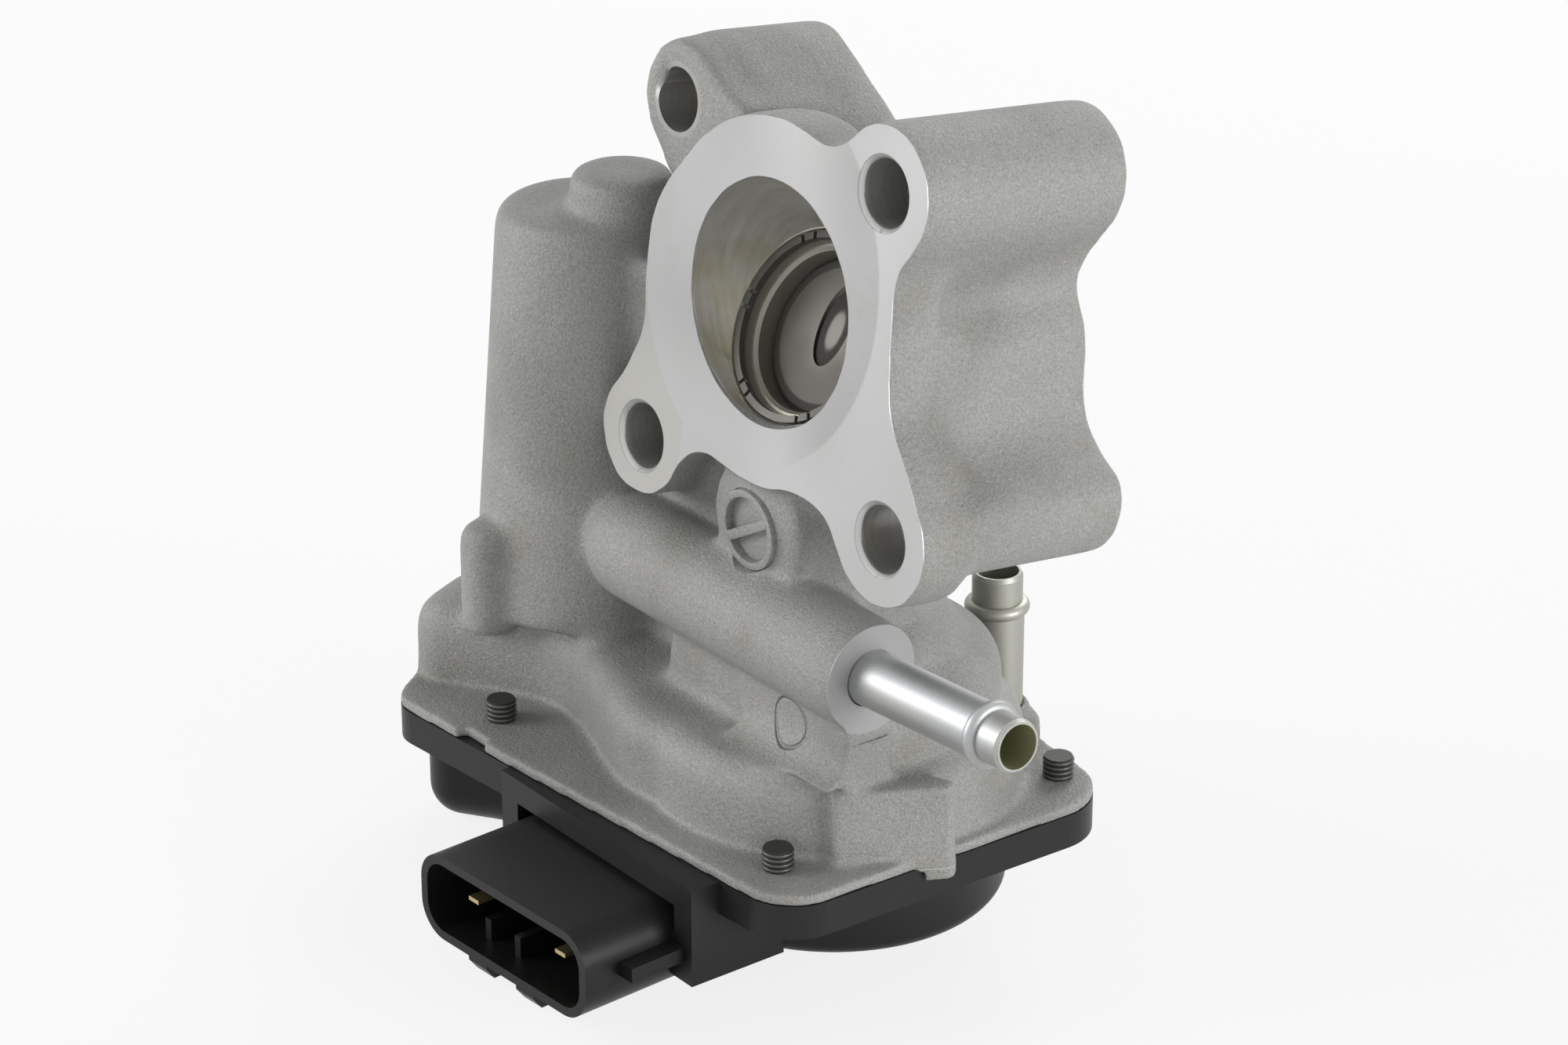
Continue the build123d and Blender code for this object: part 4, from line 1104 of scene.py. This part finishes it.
@dataclass(frozen=True)
class Cuts:
    """Sizes of the tools that cut the machined faces, in millimetres.

    Attributes:
        block: Half thickness of the plane cutters.
        front: Middle of the front cutter, across and up.
        front_half: Half its size.
        rear: Middle of the rear cutter, across and up.
        rear_half: Half its size.
        gallery: Half size of the gallery's cutter.
        gallery_block: Half its thickness.
        mark_r: Radius of the cutter over the core boss.
        mark_reach: Where that cutter starts and ends in front of the boss.
        hole_room: How far a hole's cutter starts in front of its face.
        hole_end: Depth at which the cutters of the bolt holes end.
        port_end: Depth at which the cutter of the port ends.
        mouth: Depth at which the port turns towards the nozzle.
        nozzle: Place along the nozzle's axis and radius of each step of its seat.
        neck: Last step of the seat, at the rear.
        screw_ends: Lower and upper end of the screw holes' cutters.
    """

    block: float = 10.0
    front: Pair = (2.8, 2.5)
    front_half: Pair = (37.2, 38.0)
    rear: Pair = (0.0, 2.5)
    rear_half: Pair = (60.0, 42.5)
    gallery: float = 9.5
    gallery_block: float = 5.0
    mark_r: float = 5.9
    mark_reach: Pair = (4.0, 0.02)
    hole_room: float = 3.0
    hole_end: float = 42.0
    port_end: float = 40.0
    mouth: float = 1.2
    nozzle: tuple[Pair, ...] = ((5.9, 14.0), (5.88, 13.62), (-3.0, 13.62), (-3.02, 11.42))
    neck: Pair = (-4.0, 11.42)
    screw_ends: Pair = (-77.0, -72.5)


class Casting:
    """Cast body with soft blends, cut afterwards along its machined faces."""

    SCREW_PLUG_R = 3.0
    SCREW_PLUG_ENDS = (-75.55, -74.05)
    GALLERY_STRETCH_R = 8.6
    FRONT_STRETCH_LEFT = -34.6

    def __init__(
        self, painter: Painter, softening: Softening = Softening(), cuts: Cuts = Cuts()
    ) -> None:
        """Take the CAD casting as the start.

        Args:
            painter: Maker of the materials.
            softening: How far to round it.
            cuts: Sizes of the cutting tools.
        """
        self.painter = painter
        self.softening = softening
        self.cuts = cuts
        self.source = frame["nodes"]["valve_housing"]

    def build(self) -> bpy.types.Object:
        """Make the softened casting and put it in place of the CAD one."""
        item = new_object("valve_casting", self.source.data.copy())
        item.data.materials.clear()
        self.fill(item.data)
        self.apply(item, "REMESH", mode="VOXEL", voxel_size=self.softening.voxel)
        self.smooth(item.data)
        ratio = self.softening.triangles / (2 * len(item.data.polygons))
        if ratio < 1.0:
            self.apply(item, "DECIMATE", ratio=ratio)
        for tool in (self.planes(), self.voids()):
            self.apply(item, "BOOLEAN", operation="DIFFERENCE", object=tool, solver="MANIFOLD")
            bpy.data.objects.remove(tool)
        item.data.shade_smooth()
        item.data.set_sharp_from_angle(angle=math.radians(self.softening.sharp))
        self.painter.paint(item, "cast_aluminium")
        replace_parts(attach(item, "housing"), "valve_housing")
        return item

    def apply(self, item: bpy.types.Object, kind: str, **settings: Any) -> None:
        """Apply one modifier to a mesh.

        Args:
            item: Object to change.
            kind: Modifier type.
            settings: Properties of the modifier.
        """
        modifier = item.modifiers.new(kind.lower(), kind)
        for name, value in settings.items():
            setattr(modifier, name, value)
        graph = bpy.context.evaluated_depsgraph_get()
        mesh = bpy.data.meshes.new_from_object(item.evaluated_get(graph), depsgraph=graph)
        item.modifiers.clear()
        old = item.data
        item.data = mesh
        bpy.data.meshes.remove(old)
        LOG.info("%s: %d faces", kind, len(mesh.polygons))

    def fill(self, mesh: bpy.types.Mesh) -> None:
        """Fill the screw holes and the hollow of the upper left lug before the remesh.

        Args:
            mesh: Mesh to change.
        """
        lathe = Lathe()
        lathe.mesh.from_mesh(mesh)
        for x, y in SCREWS:
            centres = [Vector((x, y, z)) * MM for z in self.SCREW_PLUG_ENDS]
            lathe.chain([lathe.ring(at, ACROSS, FORWARD, self.SCREW_PLUG_R) for at in centres])
        lathe.chain([[port_point(x, rise, depth) for x, rise in LUG] for depth in LUG_DEPTHS])
        bmesh.ops.recalc_face_normals(lathe.mesh, faces=lathe.mesh.faces)
        lathe.mesh.to_mesh(mesh)
        lathe.mesh.free()

    def weights(self, points: np.ndarray) -> np.ndarray:
        """Return how freely each vertex may move.

        Args:
            points: Vertices in millimetres.

        Returns:
            One weight for each vertex.
        """
        x, y, z = points.T
        weight = np.ones(len(points))
        for well in WELLS:
            weight[(np.hypot(x - well.x, y - well.y) < well.radius) & (z < well.top)] = 0.0
        for hold in HOLDS:
            inside = (points > np.array(hold.low)) & (points < np.array(hold.high))
            weight[inside.all(axis=1)] = hold.weight
        return weight

    def smooth(self, mesh: bpy.types.Mesh) -> None:
        """Round the remeshed casting, with its machined ends stretched out of the way.

        Args:
            mesh: Mesh to change.
        """
        count = len(mesh.vertices)
        flat = np.empty(count * 3, np.float32)
        mesh.vertices.foreach_get("co", flat)
        points = flat.reshape(-1, 3).astype(float) / MM
        self.stretch(points)
        edges = np.empty(len(mesh.edges) * 2, np.int32)
        mesh.edges.foreach_get("vertices", edges)
        first, second = edges.reshape(-1, 2).T
        degree = np.bincount(first, minlength=count) + np.bincount(second, minlength=count)
        degree = np.maximum(degree, 1)[:, None]
        step = (self.weights(points) * self.softening.share)[:, None]
        for _ in range(self.softening.rounds):
            total = np.empty_like(points)
            for axis in range(3):
                column = points[:, axis]
                total[:, axis] = np.bincount(first, column[second], count)
                total[:, axis] += np.bincount(second, column[first], count)
            points += (total / degree - points) * step
        mesh.vertices.foreach_set("co", (points * MM).astype(np.float32).ravel())
        mesh.update()

    def stretch(self, points: np.ndarray) -> None:
        """Move the machined ends outwards, so that the smoothing can't round their edges.

        Args:
            points: Vertices in millimetres, changed in place.
        """
        near = self.softening.near
        outwards = np.array(PORT_BACK) * self.softening.stretch
        depth = points @ np.array(PORT_BACK)
        rise = points @ np.array(PORT_UP)
        front = (abs(depth) < near) & (points[:, 0] > self.FRONT_STRETCH_LEFT)
        points[front & (rise > LAYOUT.face_low)] -= outwards
        rear = (depth > LAYOUT.port_length - near) & (rise > LAYOUT.rear_low)
        points[rear] += outwards
        gap_y = points[:, 1] - LAYOUT.gallery_y
        gap_z = points[:, 2] - LAYOUT.gallery_z
        ring = np.hypot(gap_y, gap_z) < self.GALLERY_STRETCH_R
        points[ring & (points[:, 0] > LAYOUT.gallery_x - near), 0] += self.softening.stretch

    def planes(self) -> bpy.types.Object:
        """Tool that cuts the machined ends flat again."""
        lathe = Lathe()
        cuts = self.cuts
        along_port = (ACROSS, PORT_UP, PORT_BACK)
        front = port_point(*cuts.front, -cuts.block)
        lathe.box(front, along_port, (*cuts.front_half, cuts.block))
        rear = port_point(*cuts.rear, LAYOUT.port_length + cuts.block)
        lathe.box(rear, along_port, (*cuts.rear_half, cuts.block))
        end = Vector((LAYOUT.gallery_x + cuts.gallery_block, LAYOUT.gallery_y, LAYOUT.gallery_z))
        half = (cuts.gallery, cuts.gallery, cuts.gallery_block)
        lathe.box(end * MM, (FORWARD, UPRIGHT, ACROSS), half)
        centres = [(Vector(MARK) - FORWARD * y) * MM for y in cuts.mark_reach]
        lathe.chain([lathe.ring(at, ACROSS, UPRIGHT, cuts.mark_r) for at in centres])
        return lathe.result("cut_planes")

    def voids(self) -> bpy.types.Object:
        """Tool that cuts the port, the bolt holes and the screw holes."""
        lathe = Lathe()
        cuts = self.cuts
        self.port(lathe)
        for x, rise, start in BOLTS:
            steps = [
                (start - cuts.hole_room, LAYOUT.mouth_r),
                (start, LAYOUT.mouth_r),
                (start + LAYOUT.mouth_depth, LAYOUT.bolt_r),
                (cuts.hole_end, LAYOUT.bolt_r),
            ]
            if start:
                steps = [(start - cuts.hole_room, LAYOUT.bolt_r), steps[-1]]
            lathe.chain([lathe.port_ring(x, rise, depth, radius) for depth, radius in steps])
        for x, y in SCREWS:
            centres = [Vector((x, y, z)) * MM for z in cuts.screw_ends]
            lathe.chain([lathe.ring(at, ACROSS, FORWARD, LAYOUT.screw_r) for at in centres])
        return lathe.result("cut_voids")

    def port(self, lathe: Lathe) -> None:
        """Add the port with the stepped seat of the nozzle.

        Args:
            lathe: Tool to add it to.
        """
        cuts = self.cuts
        tilt = LAYOUT.nozzle_tilt
        axis = Vector((0.0, -math.cos(tilt), math.sin(tilt)))
        up = Vector((0.0, math.sin(tilt), math.cos(tilt)))
        middle = Vector((0.0, LAYOUT.valve_y, LAYOUT.disc_z))
        bore = LAYOUT.bore_r
        rings = [lathe.port_ring(0.0, 0.0, depth, bore) for depth in (-cuts.hole_room, cuts.mouth)]
        for offset, radius in (*cuts.nozzle, cuts.neck):
            rings.append(lathe.ring((middle + axis * offset) * MM, ACROSS, up, radius))
        edge = []
        for point in lathe.ring(Vector(), ACROSS, PORT_UP, bore):
            start = point / MM
            along = ((middle + axis * cuts.neck[0] - start) @ axis) / (PORT_BACK @ axis)
            edge.append((start + PORT_BACK * along) * MM)
        rings += [edge, lathe.port_ring(0.0, 0.0, cuts.port_end, bore)]
        lathe.chain(rings)


class Carried:
    """CAD nodes shown as they are, each with its material."""

    def __init__(self, painter: Painter) -> None:
        """Keep the painter.

        Args:
            painter: Maker of the materials.
        """
        self.painter = painter

    def build(self) -> int:
        """Paint every CAD node.

        Returns:
            The number of painted nodes.
        """
        for row in frame["record"]["subparts"]:
            item = frame["nodes"][row["node"]]
            self.painter.paint(item, row["material_slot"])
            LOG.info("painted %s", row["node"])
        return len(frame["record"]["subparts"])


@dataclass(frozen=True)
class MarkSize:
    """Raised ring with a bar on the core boss, in millimetres.

    Attributes:
        radius: Outer radius of the ring.
        wall: Width of the ring.
        height: Height above the boss.
        foot: Depth in the boss.
        bar: Width of the bar.
        inset: How far the bar ends before the middle of the ring's wall.
        turn: Slant of the bar in degrees.
        soft: Rounding of the edges.
        sharp: Angle above which an edge is shaded sharp, in degrees.
    """

    radius: float = 5.8
    wall: float = 1.15
    height: float = 1.3
    foot: float = 0.6
    bar: float = 1.5
    inset: float = 0.3
    turn: float = 29.0
    soft: float = 0.25
    sharp: float = 40.0


class CoreMark:
    """Crisp mark on the core boss, which the softening would wash away."""

    STEPS = 96

    def __init__(self, painter: Painter, size: MarkSize = MarkSize()) -> None:
        """Keep the sizes.

        Args:
            painter: Maker of the materials.
            size: Sizes of the mark.
        """
        self.painter = painter
        self.size = size

    def profile(self, width: float) -> list[Pair]:
        """Rounded section of a ridge.

        Args:
            width: Width of the ridge.

        Returns:
            Points across and above the boss.
        """
        size = self.size
        top = size.height
        half = width / 2
        soft = size.soft
        return [
            (-half, -size.foot),
            (half, -size.foot),
            (half, top - soft),
            (half - 0.3 * soft, top - 0.3 * soft),
            (half - soft, top),
            (soft - half, top),
            (0.3 * soft - half, top - 0.3 * soft),
            (-half, top - soft),
        ]

    def build(self) -> bpy.types.Object:
        """Make the ring and the bar."""
        lathe = Lathe()
        self.ring(lathe)
        self.bar(lathe)
        item = lathe.result("core_mark")
        item.data.shade_smooth()
        item.data.set_sharp_from_angle(angle=math.radians(self.size.sharp))
        self.painter.paint(item, "cast_aluminium")
        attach(item, "housing")
        return item

    def ring(self, lathe: Lathe) -> None:
        """Add the ring.

        Args:
            lathe: Solid to add it to.
        """
        middle = self.size.radius - self.size.wall / 2
        rows = []
        for index in range(self.STEPS):
            angle = 2 * math.pi * index / self.STEPS
            section = []
            for across, above in self.profile(self.size.wall):
                reach = middle + across
                point = (reach * math.cos(angle), -above, reach * math.sin(angle))
                section.append((Vector(MARK) + Vector(point)) * MM)
            rows.append([lathe.mesh.verts.new(point) for point in section])
        for near, far in zip(rows, rows[1:] + rows[:1]):
            lathe.join(near, far)

    def bar(self, lathe: Lathe) -> None:
        """Add the bar.

        Args:
            lathe: Solid to add it to.
        """
        size = self.size
        turn = math.radians(size.turn)
        along = Vector((math.cos(turn), 0.0, math.sin(turn)))
        side = Vector((-math.sin(turn), 0.0, math.cos(turn)))
        middle = size.radius - size.wall / 2
        ends = []
        for reach in (size.inset - middle, middle - size.inset):
            start = Vector(MARK) + along * reach
            points = [start + side * a - FORWARD * b for a, b in self.profile(size.bar)]
            ends.append([point * MM for point in points])
        lathe.chain(ends)


@dataclass(frozen=True)
class Thread:
    """Thread ridges on the ends of the cover screws.

    Attributes:
        pitch: Distance between ridges in metres.
        count: Ridges on each screw.
        top: Height of the uppermost ridge.
        radius: Radius of the ridge centre line.
        ridge: Radius of the ridge itself.
        round_steps: Steps round the screw.
        ridge_steps: Steps round the ridge.
    """

    pitch: float = 0.00075
    count: int = 4
    top: float = -0.0713
    radius: float = 0.00196
    ridge: float = 0.0003
    round_steps: int = 40
    ridge_steps: int = 6


class ScrewThreads:
    """Repeats thread ridges on the cover screws with Geometry Nodes."""

    def __init__(self, painter: Painter, thread: Thread = Thread()) -> None:
        """Keep the sizes.

        Args:
            painter: Maker of the materials.
            thread: Sizes of the thread.
        """
        self.painter = painter
        self.thread = thread

    def group(self) -> bpy.types.NodeTree:
        """Make the node group that repeats a ridge down each screw."""
        tree = bpy.data.node_groups.new("screw_threads", "GeometryNodeTree")
        face = tree.interface
        face.new_socket("Geometry", in_out="INPUT", socket_type="NodeSocketGeometry")
        for name, kind in (
            ("Ridges", "NodeSocketInt"),
            ("Pitch", "NodeSocketFloat"),
            ("Radius", "NodeSocketFloat"),
            ("Ridge", "NodeSocketFloat"),
            ("Material", "NodeSocketMaterial"),
        ):
            face.new_socket(name, in_out="INPUT", socket_type=kind)
        face.new_socket("Geometry", in_out="OUTPUT", socket_type="NodeSocketGeometry")
        add = tree.nodes.new
        link = tree.links.new
        given = add("NodeGroupInput")
        circle = add("GeometryNodeCurvePrimitiveCircle")
        circle.inputs["Resolution"].default_value = self.thread.round_steps
        link(given.outputs["Radius"], circle.inputs["Radius"])
        profile = add("GeometryNodeCurvePrimitiveCircle")
        profile.inputs["Resolution"].default_value = self.thread.ridge_steps
        link(given.outputs["Ridge"], profile.inputs["Radius"])
        ridge = add("GeometryNodeCurveToMesh")
        link(circle.outputs[0], ridge.inputs["Curve"])
        link(profile.outputs[0], ridge.inputs["Profile Curve"])
        offset = add("ShaderNodeCombineXYZ")
        down = add("ShaderNodeMath")
        down.operation = "MULTIPLY"
        down.inputs[1].default_value = -1.0
        link(given.outputs["Pitch"], down.inputs[0])
        link(down.outputs[0], offset.inputs["Z"])
        line = add("GeometryNodeMeshLine")
        link(given.outputs["Ridges"], line.inputs["Count"])
        link(offset.outputs[0], line.inputs["Offset"])
        column = add("GeometryNodeInstanceOnPoints")
        link(line.outputs[0], column.inputs["Points"])
        link(ridge.outputs[0], column.inputs["Instance"])
        spread = add("GeometryNodeInstanceOnPoints")
        link(given.outputs["Geometry"], spread.inputs["Points"])
        link(column.outputs[0], spread.inputs["Instance"])
        real = add("GeometryNodeRealizeInstances")
        link(spread.outputs[0], real.inputs[0])
        paint = add("GeometryNodeSetMaterial")
        link(real.outputs[0], paint.inputs["Geometry"])
        link(given.outputs["Material"], paint.inputs["Material"])
        result = add("NodeGroupOutput")
        link(paint.outputs[0], result.inputs[0])
        return tree

    def build(self) -> bpy.types.Object:
        """Make the ridges as one plain mesh on the housing."""
        points = bpy.data.meshes.new("screw_ends")
        places = [(x * MM, y * MM, self.thread.top) for x, y in SCREWS]
        points.from_pydata(places, [], [])
        carrier = new_object("screw_ends", points)
        modifier = carrier.modifiers.new("threads", "NODES")
        tree = self.group()
        modifier.node_group = tree
        values = {
            "Ridges": self.thread.count,
            "Pitch": self.thread.pitch,
            "Radius": self.thread.radius,
            "Ridge": self.thread.ridge,
            "Material": self.painter.get("screw_steel"),
        }
        for socket in tree.interface.items_tree:
            if socket.in_out == "INPUT" and socket.name in values:
                modifier[socket.identifier] = values[socket.name]
        graph = bpy.context.evaluated_depsgraph_get()
        mesh = bpy.data.meshes.new_from_object(carrier.evaluated_get(graph), depsgraph=graph)
        bpy.data.objects.remove(carrier)
        mesh.shade_smooth()
        item = new_object("screw_threads", mesh)
        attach(item, "housing")
        return item


@dataclass(frozen=True)
class Shot:
    """Camera of the main view.

    Attributes:
        place: Position in metres.
        right: Direction to the right of the picture.
        up: Direction to the top of the picture.
        back: Direction towards the viewer.
        lens: Focal length in millimetres.
        sensor: Width of the sensor in millimetres.
    """

    place: Triple = (0.4658, -0.3572, 0.2351)
    right: Triple = (0.611, 0.791, 0.0)
    up: Triple = (-0.328, 0.253, 0.910)
    back: Triple = (0.720, -0.556, 0.415)
    lens: float = 108.0
    sensor: float = 36.0


@dataclass(frozen=True)
class Lamp:
    """Soft area lamp.

    Attributes:
        name: Its name.
        place: Position in metres.
        size: Side of the square in metres.
        power: Power in watts.
    """

    name: str
    place: Triple
    size: float
    power: float


LAMPS: tuple[Lamp, ...] = (
    Lamp("left", (-0.6, -0.7, 0.32), 0.5, 5.5),
    Lamp("right", (0.9, 0.3, 0.12), 0.4, 5.2),
    Lamp("back", (-0.4, 0.8, 0.5), 0.5, 4.0),
)


@dataclass(frozen=True)
class Studio:
    """Pale floor, soft light and the camera of the photo.

    Attributes:
        floor_side: Side of the floor in metres.
        floor_gap: Gap between floor and object in metres.
        floor_glow: Share of plain white that camera and metal see on the floor.
        horizon: Strength of the soft light from the side.
        zenith: Strength of the soft light from above.
        target: Where the lamps point.
    """

    floor_side: float = 12.0
    floor_gap: float = 0.0002
    floor_glow: float = 0.82
    horizon: float = 1.38
    zenith: float = 0.2
    target: Triple = (-0.015, 0.01, -0.035)

    def build(self) -> None:
        """Make the stage."""
        self.floor()
        self.world()
        for lamp in LAMPS:
            self.lamp(lamp)
        self.camera(Shot())
        bpy.context.scene.view_settings.view_transform = "Standard"

    def floor(self) -> None:
        """Add the pale floor, nearly white to the camera, with a faint shadow."""
        low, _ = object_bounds()
        half = self.floor_side / 2
        height = low.z - self.floor_gap
        sides = ((-half, -half), (half, -half), (half, half), (-half, half))
        mesh = bpy.data.meshes.new("floor")
        mesh.from_pydata([(x, y, height) for x, y in sides], [], [(0, 1, 2, 3)])
        item = new_object("floor", mesh)
        material = bpy.data.materials.new("floor paper")
        tree = Tree(material)
        paper = tree.noise(40.0, 2.0)
        diffuse = tree.add(
            "ShaderNodeBsdfDiffuse",
            inputs={"Color": tree.tone((0.82, 0.82, 0.82), 1.0 + (paper - 0.5) * 0.01)},
        )
        glow = tree.add("ShaderNodeEmission", inputs={"Color": (1.0, 1.0, 1.0), "Strength": 1.0})
        mixed = tree.add(
            "ShaderNodeMixShader",
            inputs={0: tree.seen() * self.floor_glow, 1: diffuse.outputs[0], 2: glow.outputs[0]},
        )
        tree.add("ShaderNodeOutputMaterial", inputs={"Surface": mixed.outputs[0]})
        mesh.materials.append(material)
        item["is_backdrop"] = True

    def world(self) -> None:
        """Light everything softly from all round."""
        world = bpy.data.worlds.new("studio")
        bpy.context.scene.world = world
        tree = Tree(world)
        sky = tree.add("ShaderNodeTexCoord").outputs["Generated"]
        high = Wire(tree, tree.add("ShaderNodeSeparateXYZ", inputs={0: sky}).outputs["Z"])
        strength = high.ramp(0.1, 0.75, self.horizon, self.zenith)
        soft = tree.add(
            "ShaderNodeBackground", inputs={"Color": (0.98, 0.99, 1.0), "Strength": strength}
        )
        white = tree.add(
            "ShaderNodeBackground", inputs={"Color": (1.0, 1.0, 1.0), "Strength": 1.0}
        )
        mixed = tree.add(
            "ShaderNodeMixShader", inputs={0: tree.seen(), 1: soft.outputs[0], 2: white.outputs[0]}
        )
        tree.add("ShaderNodeOutputWorld", inputs={"Surface": mixed.outputs[0]})

    def lamp(self, lamp: Lamp) -> None:
        """Add one lamp that points at the object.

        Args:
            lamp: Its description.
        """
        data = bpy.data.lights.new(lamp.name, "AREA")
        data.size = lamp.size
        data.energy = lamp.power
        item = new_object(lamp.name, data)
        item.location = lamp.place
        item.rotation_mode = "QUATERNION"
        aim = Vector(self.target) - Vector(lamp.place)
        item.rotation_quaternion = aim.to_track_quat("-Z", "Y")

    def camera(self, shot: Shot) -> None:
        """Add the camera.

        Args:
            shot: Its place and directions.
        """
        data = bpy.data.cameras.new("camera")
        data.sensor_width = shot.sensor
        data.lens = shot.lens
        item = new_object("camera", data)
        axes = Matrix((shot.right, shot.up, shot.back)).transposed().to_4x4()
        item.matrix_world = Matrix.Translation(shot.place) @ axes
        bpy.context.scene.camera = item


def main() -> None:
    """Build the pieces in order, then the stage."""
    logging.basicConfig(level=logging.INFO, format="%(message)s")
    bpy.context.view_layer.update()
    painter = Painter()
    LOG.info("painted %d CAD nodes", Carried(painter).build())
    LOG.info("built %s", Casting(painter).build().name)
    LOG.info("built %s", CoreMark(painter).build().name)
    LOG.info("built %s", ScrewThreads(painter).build().name)
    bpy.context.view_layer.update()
    Studio().build()
    LOG.info("built the stage")


if __name__ == "__main__":
    main()
